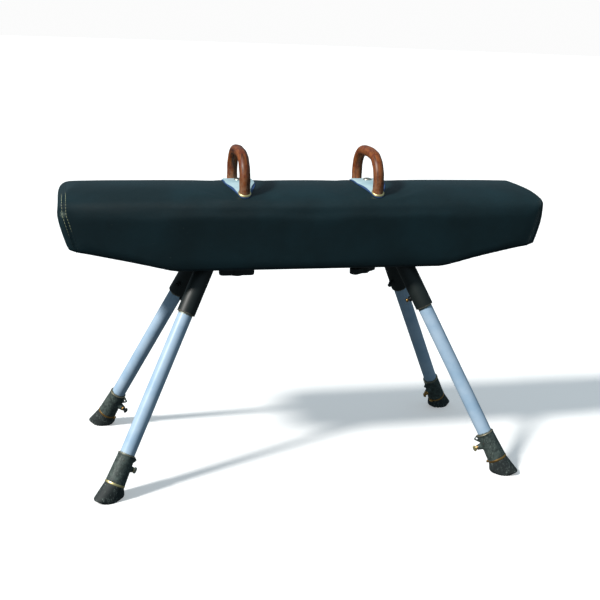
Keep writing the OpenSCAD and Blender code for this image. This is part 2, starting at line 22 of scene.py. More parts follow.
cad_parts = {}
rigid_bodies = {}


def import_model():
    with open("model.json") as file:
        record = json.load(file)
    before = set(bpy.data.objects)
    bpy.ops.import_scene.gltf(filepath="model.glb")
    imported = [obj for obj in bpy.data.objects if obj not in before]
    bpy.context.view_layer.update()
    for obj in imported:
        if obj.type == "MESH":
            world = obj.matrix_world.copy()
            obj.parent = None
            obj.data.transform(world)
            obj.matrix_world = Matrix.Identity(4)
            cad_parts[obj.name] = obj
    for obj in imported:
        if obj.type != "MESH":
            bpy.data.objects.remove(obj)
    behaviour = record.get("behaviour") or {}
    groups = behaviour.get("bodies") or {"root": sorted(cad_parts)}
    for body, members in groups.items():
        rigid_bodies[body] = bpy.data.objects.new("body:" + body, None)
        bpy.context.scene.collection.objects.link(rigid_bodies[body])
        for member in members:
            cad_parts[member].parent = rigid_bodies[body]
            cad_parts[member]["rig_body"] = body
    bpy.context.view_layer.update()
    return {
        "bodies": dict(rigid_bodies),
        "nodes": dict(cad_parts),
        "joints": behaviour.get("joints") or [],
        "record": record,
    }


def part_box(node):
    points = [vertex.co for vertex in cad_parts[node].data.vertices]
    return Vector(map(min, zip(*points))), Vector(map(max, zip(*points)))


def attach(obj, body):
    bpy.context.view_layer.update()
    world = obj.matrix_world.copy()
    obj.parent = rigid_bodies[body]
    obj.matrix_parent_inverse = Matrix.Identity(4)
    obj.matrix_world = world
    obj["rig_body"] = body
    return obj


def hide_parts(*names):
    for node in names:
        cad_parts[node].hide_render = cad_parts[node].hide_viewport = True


LOG = logging.getLogger("pommel_horse")
Colour = tuple[float, float, float]
Point = tuple[float, float, float]


def paint(code: str) -> Colour:
    """Linear colour of a hex code such as "1d3b40"."""
    parts = [int(code[i:i + 2], 16) / 255 for i in (0, 2, 4)]
    return tuple(p / 12.92 if p <= 0.04045 else ((p + 0.055) / 1.055) ** 2.4 for p in parts)


# ---------- shader trees ----------


class Value:
    """A socket that takes part in Python arithmetic; each operation adds a Math node."""

    def __init__(self, shader: Shader, socket: bpy.types.NodeSocket) -> None:
        """Wraps a socket of a shader."""
        self.shader = shader
        self.socket = socket

    def maths(self, operation: str, first: Term, second: Term = 0.0) -> Value:
        """A Math node on two terms."""
        return self.shader.node("ShaderNodeMath", {"operation": operation}, {0: first, 1: second})

    def __add__(self, other: Term) -> Value:
        """Sum."""
        return self.maths("ADD", self, other)

    def __sub__(self, other: Term) -> Value:
        """Difference."""
        return self.maths("SUBTRACT", self, other)

    def __mul__(self, other: Term) -> Value:
        """Product."""
        return self.maths("MULTIPLY", self, other)

    def __rsub__(self, other: Term) -> Value:
        """Difference from a number."""
        return self.maths("SUBTRACT", other, self)

    __radd__ = __add__
    __rmul__ = __mul__

    def larger(self, other: Term) -> Value:
        """The larger of two terms."""
        return self.maths("MAXIMUM", self, other)

    def between(self, low: float, high: float) -> Value:
        """0 at low, 1 at high, with a smooth turn at both; low may be the larger."""
        return self.shader.node("ShaderNodeMapRange", {"interpolation_type": "SMOOTHSTEP"},
                                {0: self, 1: low, 2: high, 3: 0.0, 4: 1.0})


Term = Value | float


class Shader:
    """A material, or the sky, under construction."""

    def __init__(self, owner: bpy.types.Material | bpy.types.World) -> None:
        """Empties the owner's node tree.

        Args:
            owner: the material or world.
        """
        self.owner = owner
        owner.use_nodes = True
        self.tree = owner.node_tree
        self.tree.nodes.clear()

    def put(self, socket: bpy.types.NodeSocket, value: Term | tuple) -> None:
        """Links a Value to a socket, or sets the socket to a plain value.

        Args:
            socket: the socket to feed.
            value: a Value, or a plain number, colour or vector.
        """
        if isinstance(value, Value):
            self.tree.links.new(value.socket, socket)
        elif socket.type == "RGBA" and len(value) == 3:
            socket.default_value = (*value, 1.0)
        else:
            socket.default_value = value

    def node(self, kind: str, settings: dict | None = None, inputs: dict | None = None,
             output: int | str | None = 0) -> Value | None:
        """Adds any node.

        Args:
            kind: the node's type.
            settings: its properties, set first.
            inputs: values or links of its sockets, by index or name.
            output: the socket to return, or None for a node without one.

        Returns:
            The chosen output.
        """
        made = self.tree.nodes.new(kind)
        for key, value in (settings or {}).items():
            setattr(made, key, value)
        for key, value in (inputs or {}).items():
            self.put(made.inputs[key], value)
        return None if output is None else Value(self, made.outputs[output])

    def place(self, attribute: str = "") -> Value:
        """Object coordinates, or a vector attribute of the piece.

        Args:
            attribute: name of the attribute; empty for Object coordinates.

        Returns:
            A vector.
        """
        if attribute:
            return self.node("ShaderNodeAttribute", {"attribute_name": attribute}, output="Vector")
        return self.node("ShaderNodeTexCoord", output="Object")

    def amount(self, attribute: str) -> Value:
        """A number that the piece carries at each point."""
        return self.node("ShaderNodeAttribute", {"attribute_name": attribute}, output="Fac")

    def stretched(self, at: Value, scale: Point) -> Value:
        """Coordinates scaled unevenly."""
        return self.node("ShaderNodeMapping", {}, {"Vector": at, "Scale": scale})

    def noise(self, at: Value, scale: float, detail: float = 3.0, rough: float = 0.55) -> Value:
        """Cloudy noise from 0 to 1, with features of about 1 / scale metres."""
        return self.node("ShaderNodeTexNoise", {},
                         {"Vector": at, "Scale": scale, "Detail": detail, "Roughness": rough})

    def cells(self, at: Value, scale: float, feature: str = "DISTANCE_TO_EDGE") -> Value:
        """Distance in a field of cells, about 1 / scale metres wide."""
        return self.node("ShaderNodeTexVoronoi", {"feature": feature}, {"Vector": at, "Scale": scale},
                         "Distance")

    def axis(self, at: Value, name: str) -> Value:
        """One coordinate of a vector."""
        return self.node("ShaderNodeSeparateXYZ", {}, {0: at}, name)

    def near(self, at: Value, point: Point, radius: float) -> Value:
        """1 at a point, fading to 0 at a radius."""
        away = self.node("ShaderNodeVectorMath", {"operation": "DISTANCE"}, {0: at, 1: point}, "Value")
        return away.between(radius, 0.0)

    def worn_edges(self, low: float, high: float) -> Value:
        """1 on the mesh's outer edges and 0 on its flats."""
        return self.node("ShaderNodeNewGeometry", output="Pointiness").between(low, high)

    def mix(self, factor: Term, first: Value | Colour, second: Value | Colour) -> Value:
        """A colour between two colours."""
        return self.node("ShaderNodeMix", {"data_type": "RGBA"}, {0: factor, 6: first, 7: second}, 2)

    def bump(self, height: Value, distance: float, strength: float = 1.0,
             under: Value | None = None) -> Value:
        """A bumped normal, on top of another one if given.

        Args:
            height: the relief, from 0 to 1.
            distance: its depth in metres at height 1.
            strength: how much of the relief shows.
            under: a normal to start from.

        Returns:
            The bumped normal.
        """
        inputs = {"Height": height, "Distance": distance, "Strength": strength}
        if under:
            inputs["Normal"] = under
        return self.node("ShaderNodeBump", {}, inputs)

    def finish(self, **sockets: Value | float | tuple) -> bpy.types.Material:
        """Adds the Principled surface, its sockets named with _ for each space.

        Args:
            sockets: values or links of the Principled sockets.

        Returns:
            The finished material.
        """
        inputs = {key.replace("_", " "): value for key, value in sockets.items()}
        surface = self.node("ShaderNodeBsdfPrincipled", {}, inputs)
        self.node("ShaderNodeOutputMaterial", {}, {"Surface": surface}, output=None)
        return self.owner


# ---------- finishes ----------


@dataclass(frozen=True)
class Finish:
    """What a surface is made of. slot names the record's material slot; it is not used."""

    name: str
    slot: str

    def dress(self, shader: Shader) -> bpy.types.Material:
        """Builds the node tree."""
        raise NotImplementedError

    def material(self) -> bpy.types.Material:
        """The one material of this finish, made at its first use."""
        return bpy.data.materials.get(self.name) or self.dress(Shader(bpy.data.materials.new(self.name)))


@dataclass(frozen=True)
class Leather(Finish):
    """Satin leather with a fine pebble grain, creases and rubbed places; the pale spot on the left end's
    corner is also a painted highlight.
    """

    colour: Colour = paint("102c33")
    deep: Colour = paint("0c2227")
    # Pale colour of the scuffs and of the corner spots; on the left end's corner spot it also paints a
    # highlight.
    rubbed: Colour = paint("7d8a80")
    rubs_and_highlight: tuple[tuple[Point, float], ...] = ()

    def dress(self, shader: Shader) -> bpy.types.Material:
        """Builds the node tree.

        Args:
            shader: the empty tree of the new material.

        Returns:
            The finished material.
        """
        at = shader.place()
        pebble = shader.cells(at, 620.0)
        crease = shader.noise(shader.stretched(at, (0.5, 1.0, 1.0)), 46.0, 6.0, 0.62)
        cloud = shader.noise(at, 5.5, 4.0)
        scuff = shader.noise(shader.stretched(at, (0.16, 1.0, 1.0)), 120.0, 4.0, 0.7).between(0.66, 0.78)
        speck = shader.cells(at, 55.0, "F1").between(0.10, 0.03) * shader.noise(at, 30.0).between(0.55, 0.7)
        skin = shader.mix(cloud.between(0.3, 0.7), self.deep, self.colour)
        skin = shader.mix(pebble.between(0.25, 0.0) * 0.35, skin, paint("050f12"))
        skin = shader.mix((scuff * cloud.between(0.45, 0.7)).larger(speck) * 0.22, skin, self.rubbed)
        # Pale corner spots: worn leather, and on the left end also a painted highlight where that corner
        # faces the sun.
        for point, radius in self.rubs_and_highlight:
            rub_and_highlight_spot = shader.near(at, point, radius) + shader.noise(at, 160.0) * 0.6 - 0.3
            skin = shader.mix(rub_and_highlight_spot.between(0.35, 0.85) * 0.8, skin, self.rubbed)
        normal = shader.bump(crease, 0.0011, 0.45)
        normal = shader.bump(pebble.between(0.0, 0.22), 0.00022, 0.6, normal)
        return shader.finish(Base_Color=skin, Roughness=0.46 + cloud * 0.12 + scuff * 0.1, Normal=normal,
                             Specular_IOR_Level=0.3)


@dataclass(frozen=True)
class Enamel(Finish):
    """Paint over metal, with chips where the piece's wear attribute says so."""

    colour: Colour = paint("b4cbe1")
    shade: Colour = paint("9fbcd6")
    bare: Colour = paint("8a8f86")
    chips: float = 0.5
    rough: float = 0.34
    grime: Colour = paint("5d6b6d")

    def dress(self, shader: Shader) -> bpy.types.Material:
        """Builds the node tree.

        Args:
            shader: the empty tree of the new material.

        Returns:
            The finished material.
        """
        at = shader.place()
        grain = shader.place("grain")
        streak = shader.noise(shader.stretched(grain, (1.0, 1.0, 0.07)), 150.0, 5.0)
        cloud = shader.noise(at, 14.0, 4.0)
        flake = shader.noise(at, 260.0, 5.0, 0.65)
        wear = shader.amount("wear")
        chipped = (wear * self.chips + flake * 0.55).between(0.52, 0.56)
        dirt = (wear.between(0.15, 0.9) * 0.5 + streak.between(0.6, 0.75) * 0.35) * cloud
        coat = shader.mix(cloud.between(0.35, 0.7), self.colour, self.shade)
        coat = shader.mix(dirt * 0.6, coat, self.grime)
        skin = shader.mix(chipped, coat, self.bare)
        normal = shader.bump(streak, 0.0004, 0.25)
        normal = shader.bump(shader.noise(at, 420.0, 2.0), 0.00012, 0.35, normal)
        normal = shader.bump(1 - chipped, 0.00015, 0.7, normal)
        return shader.finish(Base_Color=skin, Roughness=self.rough + dirt * 0.3 + chipped * 0.15,
                             Metallic=chipped * 0.7, Normal=normal)


@dataclass(frozen=True)
class Casting(Finish):
    """Dark paint over a rough iron casting, rubbed bright at rims and corners."""

    colour: Colour = paint("2a3432")
    light: Colour = paint("46524e")
    bare: Colour = paint("9a9078")

    def dress(self, shader: Shader) -> bpy.types.Material:
        """Builds the node tree.

        Args:
            shader: the empty tree of the new material.

        Returns:
            The finished material.
        """
        at = shader.place()
        sand = shader.noise(at, 520.0, 5.0, 0.7)
        lump = shader.noise(at, 75.0, 5.0, 0.65)
        scratch = shader.noise(shader.stretched(at, (1.0, 1.0, 0.35)), 190.0, 6.0, 0.78).between(0.54, 0.64)
        rub = (shader.amount("wear") * 0.75 + sand * 0.5 - 0.2).between(0.42, 0.62)
        rub = rub.larger(shader.worn_edges(0.53, 0.60) * lump.between(0.4, 0.6) * 0.6)
        skin = shader.mix(lump.between(0.38, 0.62), self.colour, self.light)
        skin = shader.mix(scratch * 0.5, skin, paint("7b877f"))
        skin = shader.mix(shader.noise(at, 60.0).between(0.62, 0.72) * 0.35, skin, paint("4b3a2b"))
        skin = shader.mix(rub, skin, self.bare)
        normal = shader.bump(lump, 0.0012, 0.5)
        normal = shader.bump(sand, 0.0005, 0.7, normal)
        return shader.finish(Base_Color=skin, Roughness=0.62 - rub * 0.2, Metallic=rub * 0.7, Normal=normal)


@dataclass(frozen=True)
class Rubber(Finish):
    """Dull moulded rubber with pale scuffs."""

    colour: Colour = paint("242b2b")
    scuffed: Colour = paint("76827c")
    scuffs: float = 0.8

    def dress(self, shader: Shader) -> bpy.types.Material:
        """Builds the node tree.

        Args:
            shader: the empty tree of the new material.

        Returns:
            The finished material.
        """
        at = shader.place()
        fine = shader.noise(at, 640.0, 4.0, 0.7)
        cloud = shader.noise(at, 40.0, 5.0)
        scratch = shader.noise(shader.stretched(at, (1.0, 0.4, 0.5)), 170.0, 6.0, 0.78).between(0.53, 0.62)
        edge = shader.worn_edges(0.51, 0.57)
        dust = (scratch * cloud.between(0.35, 0.6)).larger(edge * 0.5) * self.scuffs
        skin = shader.mix(dust, self.colour, self.scuffed)
        normal = shader.bump(cloud, 0.0008, 0.4)
        normal = shader.bump(fine + scratch * 0.6, 0.0003, 0.6, normal)
        return shader.finish(Base_Color=skin, Roughness=0.72 + dust * 0.15, Normal=normal)


@dataclass(frozen=True)
class Metal(Finish):
    """Bare or plated metal, tarnished in its hollows."""

    colour: Colour = paint("c9c8bd")
    tarnish: Colour = paint("6f6a5b")
    rough: float = 0.34
    spread: float = 0.5

    def dress(self, shader: Shader) -> bpy.types.Material:
        """Builds the node tree.

        Args:
            shader: the empty tree of the new material.

        Returns:
            The finished material.
        """
        at = shader.place()
        stain = shader.noise(at, 130.0, 5.0, 0.65).between(0.72 - self.spread * 0.4, 0.8)
        brushed = shader.noise(shader.stretched(at, (1.0, 1.0, 6.0)), 300.0, 3.0)
        edge = shader.worn_edges(0.50, 0.58)
        skin = shader.mix(stain * (1 - edge * 0.7), self.colour, self.tarnish)
        normal = shader.bump(brushed, 0.0001, 0.4)
        return shader.finish(Base_Color=skin, Roughness=self.rough + stain * 0.3, Metallic=1 - stain * 0.45,
                             Normal=normal)


@dataclass(frozen=True)
class BentWood(Finish):
    """Oiled, hand-worn wood whose grain follows the bend; paler low down where hands leave chalk."""

    colour: Colour = paint("85461c")
    dark: Colour = paint("411b08")
    chalky: Colour = paint("8f6e54")
    low: float = 0.94
    high: float = 1.04

    def dress(self, shader: Shader) -> bpy.types.Material:
        """Builds the node tree.

        Args:
            shader: the empty tree of the new material.

        Returns:
            The finished material.
        """
        grain = shader.place("grain")
        at = shader.place()
        fibre = shader.noise(shader.stretched(grain, (1.0, 1.0, 0.06)), 300.0, 5.0, 0.65)
        ring = shader.noise(shader.stretched(grain, (1.0, 1.0, 0.12)), 95.0, 4.0)
        blotch = shader.noise(at, 75.0, 6.0, 0.75)
        dent = shader.cells(at, 120.0, "F1").between(0.13, 0.05)
        height = shader.axis(at, "Z").between(self.high, self.low)
        skin = shader.mix(ring.between(0.38, 0.62), self.colour, self.dark)
        skin = shader.mix(fibre.between(0.45, 0.6) * 0.5, skin, paint("9a5a2b"))
        skin = shader.mix(height * blotch.between(0.38, 0.62) * 0.6, skin, self.chalky)
        skin = shader.mix(shader.noise(at, 38.0, 5.0, 0.7).between(0.52, 0.62) * 0.75, skin, paint("62260b"))
        skin = shader.mix(dent * 0.6, skin, paint("2c1508"))
        normal = shader.bump(fibre, 0.0003, 0.5)
        normal = shader.bump(1 - dent, 0.0004, 0.5, normal)
        return shader.finish(Base_Color=skin, Roughness=0.40 + height * 0.14 + blotch * 0.08, Normal=normal,
                             Specular_IOR_Level=0.4)


@dataclass(frozen=True)
class Boards(Finish):
    """Bare sawn boards, grain along the body."""

    def dress(self, shader: Shader) -> bpy.types.Material:
        """Builds the node tree.

        Args:
            shader: the empty tree of the new material.

        Returns:
            The finished material.
        """
        at = shader.place()
        line = shader.noise(shader.stretched(at, (0.06, 1.0, 1.0)), 170.0, 5.0)
        pore = shader.noise(shader.stretched(at, (0.04, 1.0, 1.0)), 900.0, 3.0).between(0.55, 0.7)
        skin = shader.mix(line.between(0.35, 0.65), paint("cfae78"), paint("a87f4d"))
        skin = shader.mix(pore * 0.5, skin, paint("7d5a34"))
        normal = shader.bump(line - pore * 0.4, 0.0004, 0.5)
        return shader.finish(Base_Color=skin, Roughness=0.68 + pore * 0.1, Normal=normal)


@dataclass(frozen=True)
class Felt(Finish):
    """Pressed wool felt with flecks."""

    def dress(self, shader: Shader) -> bpy.types.Material:
        """Builds the node tree.

        Args:
            shader: the empty tree of the new material.

        Returns:
            The finished material.
        """
        at = shader.place()
        fuzz = shader.noise(at, 900.0, 4.0, 0.75)
        fleck = shader.noise(at, 260.0, 3.0).between(0.6, 0.68)
        skin = shader.mix(fuzz.between(0.3, 0.7), paint("75726a"), paint("a5a197"))
        skin = shader.mix(fleck * 0.6, skin, paint("4b4e56"))
        return shader.finish(Base_Color=skin, Roughness=0.9 + fuzz * 0.05,
                             Normal=shader.bump(fuzz, 0.0008, 0.8), Sheen_Weight=0.3)


@dataclass(frozen=True)
class Thread(Finish):
    """Waxed seam thread, pale cream round a point on the left end's front corner and dark elsewhere."""

    pale: Colour = paint("c9cba0")
    dark: Colour = paint("16292b")
    bright: Point = (-0.79, -0.13, 0.87)

    def dress(self, shader: Shader) -> bpy.types.Material:
        """Builds the node tree.

        Args:
            shader: the empty tree of the new material.

        Returns:
            The finished material.
        """
        at = shader.place()
        twist = shader.noise(shader.stretched(at, (1.0, 1.0, 3.0)), 900.0, 2.0)
        # Pale round the given point, with a ragged edge from noise.
        pale_patch = shader.near(at, self.bright, 0.13) + shader.noise(at, 26.0, 4.0) * 0.9 - 0.35
        skin = shader.mix(pale_patch.between(0.42, 0.72), self.dark, self.pale)
        return shader.finish(Base_Color=skin, Roughness=0.6 + twist * 0.1,
                             Normal=shader.bump(twist, 0.0003, 0.6))


class Look(Enum):
    """The finishes of this horse."""

    # Pale spots on the ends' front corners: the left one is a rub and a painted highlight, the right one a
    # rub.
    LEATHER = Leather("body_leather", "leather_cover", rubs_and_highlight=(((-0.776, -0.163, 0.884), 0.026),
                                                             ((0.771, -0.168, 0.885), 0.012)))
    THREAD = Thread("seam_thread", "leather_cover")
    ENAMEL = Enamel("leg_enamel", "blue_paint")
    BLACK = Enamel("black_paint", "black_steel", colour=paint("121919"), shade=paint("1a2221"),
                   bare=paint("7c7468"), chips=0.42, rough=0.5, grime=paint("3a3a33"))
    BASE = Enamel("base_enamel", "base_blue", colour=paint("b9d3da"), shade=paint("9dbcc6"),
                  bare=paint("8c9294"), chips=0.5, rough=0.4)
    IRON = Casting("foot_casting", "cast_iron_foot")
    HOOF = Rubber("hoof_moulding", "hoof_rubber")
    # The packing's deep blue is its own colour and also painted shade: it stands for the shaded flank under
    # the base plate.
    PACKING = Rubber("packing_sheet", "packing_rubber", colour=paint("163a6b"), scuffed=paint("5f7fa6"),
                     scuffs=0.35)
    BRASS = Metal("aged_brass", "brass_trim", colour=paint("c89a5b"), tarnish=paint("5a4426"), rough=0.38)
    RIM = Metal("rubbed_brass", "brass_trim", colour=paint("ead9a0"), tarnish=paint("a58a4a"), rough=0.45,
                spread=0.2)
    ZINC = Metal("zinc_plate", "zinc_steel")
    TACK = Metal("tack_heads", "tack_brass", colour=paint("a8874e"), tarnish=paint("4c3d22"), spread=0.7)
    GRIP = BentWood("grip_bentwood", "grip_wood")
    BOARDS = Boards("core_boards", "core_wood")
    FELT = Felt("wool_felt", "felt_padding")


# ---------- the bench: meshes into pieces ----------


def tidy(bm: bmesh.types.BMesh) -> bmesh.types.BMesh:
    """Merges doubles and turns every face outwards.

    Args:
        bm: the mesh, changed in place.

    Returns:
        The same mesh.
    """
    bmesh.ops.remove_doubles(bm, verts=bm.verts[:], dist=1e-6)
    bmesh.ops.recalc_face_normals(bm, faces=bm.faces[:])
    return bm


def soften(bm: bmesh.types.BMesh, width: float, segments: int = 2, angle: float = 35.0,
           where: Callable[[Vector], bool] | None = None) -> bmesh.types.BMesh:
    """Bevels the sharp edges, or those of them whose middle passes a test.

    Args:
        bm: the mesh, changed in place.
        width: width of the bevel.
        segments: steps of the bevel.
        angle: the smallest angle, in degrees, of a sharp edge.
        where: a test of the middle of an edge.

    Returns:
        The same mesh.
    """
    sharp = [e for e in bm.edges if len(e.link_faces) == 2
             and e.calc_face_angle(0.0) > math.radians(angle)
             and (where is None or where((e.verts[0].co + e.verts[1].co) / 2))]
    bmesh.ops.bevel(bm, geom=sharp, offset=width, offset_type="OFFSET", segments=segments, profile=0.5,
                    affect="EDGES", clamp_overlap=True, material=-1)
    return bm


def smoothed(bm: bmesh.types.BMesh, times: int = 1) -> bmesh.types.BMesh:
    """Relaxes every vertex halfway towards its neighbours, some times over.

    Args:
        bm: the mesh, changed in place.
        times: how often.

    Returns:
        The same mesh.
    """
    for _ in range(times):
        bmesh.ops.smooth_vert(bm, verts=bm.verts[:], factor=0.5, use_axis_x=True, use_axis_y=True,
                              use_axis_z=True)
    return bm


def sliced(bm: bmesh.types.BMesh, point: Point | Vector, normal: Point | Vector,
           dist: float = 0.0) -> None:
    """Adds a row of edges where a plane passes through the whole mesh."""
    bmesh.ops.bisect_plane(bm, geom=bm.verts[:] + bm.edges[:] + bm.faces[:], dist=dist, plane_co=point,
                           plane_no=normal)


def with_rims(faces: list[bmesh.types.BMFace]) -> list:
    """Faces together with their edges and vertices."""
    return faces + list({e for f in faces for e in f.edges} | {v for f in faces for v in f.verts})


def raised(bm: bmesh.types.BMesh, faces: list[bmesh.types.BMFace], height: float) -> None:
    """Extrudes faces along Z.

    Args:
        bm: the mesh, changed in place.
        faces: the faces to raise.
        height: how far.
    """
    made = bmesh.ops.extrude_face_region(bm, geom=faces)["geom"]
    top = [g for g in made if isinstance(g, bmesh.types.BMVert)]
    bmesh.ops.translate(bm, verts=top, vec=(0, 0, height))


def plug(radius: float, depth: float, segments: int, matrix: Matrix) -> bmesh.types.BMesh:
    """A short round or many-sided bar, centred on its own frame.

    Args:
        radius: its radius.
        depth: its length.
        segments: sides of the bar.
        matrix: its place.

    Returns:
        The closed shape.
    """
    bm = bmesh.new()
    bmesh.ops.create_cone(bm, cap_ends=True, segments=segments, radius1=radius, radius2=radius,
                          depth=depth, matrix=matrix)
    return bm


def placed(name: str, data: bpy.types.ID) -> bpy.types.Object:
    """A new object of the scene, at the origin.

    Args:
        name: the object's name.
        data: its mesh, curve, camera or light.

    Returns:
        The object.
    """
    obj = bpy.data.objects.new(name, data)
    bpy.context.scene.collection.objects.link(obj)
    return obj


def as_object(name: str, bm: bmesh.types.BMesh) -> bpy.types.Object:
    """A mesh as a new object of the scene.

    Args:
        name: the object's name.
        bm: the mesh, which is kept.

    Returns:
        The object.
    """
    obj = placed(name, bpy.data.meshes.new(name))
    bm.to_mesh(obj.data)
    return obj


def turned(profile: Iterable[tuple[float, float]], closed: bool = True,
           segments: int = 64) -> bmesh.types.BMesh:
    """A shape turned about Z on a lathe.

    Args:
        profile: corners as (radius, height).
        closed: whether the last corner joins the first.
        segments: faces round the shape.

    Returns:
        The closed shape.
    """
    bm = bmesh.new()
    corners = [bm.verts.new((r, 0.0, z)) for r, z in profile]
    for a, b in zip(corners, corners[1:]):
        bm.edges.new((a, b))
    if closed:
        bm.edges.new((corners[-1], corners[0]))
    bmesh.ops.spin(bm, geom=bm.verts[:] + bm.edges[:], axis=(0, 0, 1), cent=(0, 0, 0), steps=segments,
                   angle=math.tau, use_merge=True, use_duplicate=False)
    return tidy(bm)


def prism(outline: Iterable[tuple[float, float]], low: float, high: float) -> bmesh.types.BMesh:
    """An outline in the XY plane, extruded from low to high along Z.

    Args:
        outline: corners as (x, y).
        low: the lower height.
        high: the upper height.

    Returns:
        The closed shape.
    """
    bm = bmesh.new()
    raised(bm, [bm.faces.new([bm.verts.new((x, y, low)) for x, y in outline])], high - low)
    return tidy(bm)


def moved(bm: bmesh.types.BMesh, matrix: Matrix) -> bmesh.types.BMesh:
    """The same mesh in another place."""
    bmesh.ops.transform(bm, matrix=matrix, verts=bm.verts[:])
    return bm


def joined(parts: Iterable[bmesh.types.BMesh]) -> bmesh.types.BMesh:
    """Several meshes in one.

    Args:
        parts: the meshes, which are used up.

    Returns:
        The new mesh.
    """
    whole = bmesh.new()
    for part in parts:
        mesh = bpy.data.meshes.new("part")
        part.to_mesh(mesh)
        part.free()
        whole.from_mesh(mesh)
        bpy.data.meshes.remove(mesh)
    return whole


def with_modifiers(bm: bmesh.types.BMesh, add: Callable[[bpy.types.Object], None]) -> bmesh.types.BMesh:
    """A mesh after some modifiers.

    Args:
        bm: the mesh, which is used up.
        add: adds the modifiers to the object that it is given.

    Returns:
        The changed mesh.
    """
    obj = as_object("work", bm)
    bm.free()
    add(obj)
    out = bmesh.new()
    out.from_mesh(evaluated(obj))
    bpy.data.objects.remove(obj)
    return out


def evaluated(obj: bpy.types.Object) -> bpy.types.Mesh:
    """A copy of an object's mesh with its modifiers applied."""
    bpy.context.view_layer.update()
    return bpy.data.meshes.new_from_object(obj.evaluated_get(bpy.context.evaluated_depsgraph_get()))


def fused(parts: Iterable[bmesh.types.BMesh], voxel: float, smooth: int = 2) -> bmesh.types.BMesh:
    """Several closed shapes grown into one, with the soft corners of a casting.

    Args:
        parts: the meshes, which are used up.
        voxel: the grain of the remesh.
        smooth: how often the result is relaxed.

    Returns:
        The new mesh.
    """
    def add(obj: bpy.types.Object) -> None:
        """Remeshes the object.

        Args:
            obj: the object that gets the modifier.
        """
        remesh = obj.modifiers.new("cast", "REMESH")
        remesh.mode = "VOXEL"
        remesh.voxel_size = voxel

    return tidy(smoothed(with_modifiers(joined(parts), add), smooth))


def carved(bm: bmesh.types.BMesh, tool: bmesh.types.BMesh) -> bmesh.types.BMesh:
    """A shape with another one cut out of it.

    Args:
        bm: the mesh, changed in place.
        tool: the mesh to cut with, which is used up.

    Returns:
        The new mesh.
    """
    cutter = as_object("cutter", tool)
    tool.free()

    def add(obj: bpy.types.Object) -> None:
        """Takes the cutter out of the object.

        Args:
            obj: the object that gets the modifier.
        """
        cut = obj.modifiers.new("cut", "BOOLEAN")
        cut.operation = "DIFFERENCE"
        cut.object = cutter

    out = with_modifiers(bm, add)
    bpy.data.objects.remove(cutter)
    return tidy(out)


@dataclass
class Bench:
    """Turns meshes into dressed pieces that ride on the frame's bodies."""

    frame: dict
    count: int = 0

    def piece(self, name: str, bm: bmesh.types.BMesh, look: Look, body: str, *replaced: str,
              matrix: Matrix | None = None, wear: Callable[[Vector], float] | None = None,
              grain: Callable[[Vector], Vector] | None = None, crease: float = 38.0) -> bpy.types.Object:
        """Makes a piece.

        Args:
            name: the piece's name.
            bm: its mesh, which is used up.
            look: its finish.
            body: the body that it rides on.
            replaced: the CAD nodes that it stands for.
            matrix: from the mesh's own frame to the object's frame.
            wear: how worn a point is, in the mesh's own frame.
            grain: a point's place along and across the stock, in the mesh's own frame.
            crease: the angle above which an edge shades sharp.

        Returns:
            The finished object.
        """
        along = bm.verts.layers.float_vector.new("grain")
        rubbed = bm.verts.layers.float.new("wear")
        for vert in bm.verts:
            vert[along] = grain(vert.co) if grain else vert.co
            vert[rubbed] = wear(vert.co) if wear else 0.0
        if matrix:
            moved(bm, matrix)
        mesh = bpy.data.meshes.new(name)
        bm.to_mesh(mesh)
        bm.free()
        mesh.shade_smooth()
        mesh.set_sharp_from_angle(angle=math.radians(crease))
        obj = placed(name, mesh)
        mesh.materials.append(look.value.material())
        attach(obj, body)
        if replaced:
            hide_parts(*replaced)
        self.count += 1
        LOG.info("%s: %d faces on %s", name, len(mesh.polygons), body)
        return obj

    def remade(self, node: str, look: Look, bevel: float, segments: int = 2) -> bpy.types.Object:
        """A CAD node's own shape, with its edges broken.

        Args:
            node: the CAD node's name.
            look: its finish.
            bevel: width of the broken edges.
            segments: steps of the bevel.

        Returns:
            The finished piece.
        """
        source = self.frame["nodes"][node]
        bm = bmesh.new()
        bm.from_mesh(source.data)
        tidy(bm)
        bmesh.ops.dissolve_limit(bm, angle_limit=math.radians(1.0), verts=bm.verts[:], edges=bm.edges[:])
        soften(bm, bevel, segments)
        return self.piece(node + "_finished", bm, look, source["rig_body"], node)

    def dress(self, look: Look, *nodes: str) -> None:
        """Gives CAD nodes that stay their finish.

        Args:
            look: its finish.
            nodes: the CAD nodes' names.
        """
        for node in nodes:
            mesh = self.frame["nodes"][node].data
            mesh.materials.clear()
            mesh.materials.append(look.value.material())


# ---------- the padded body ----------


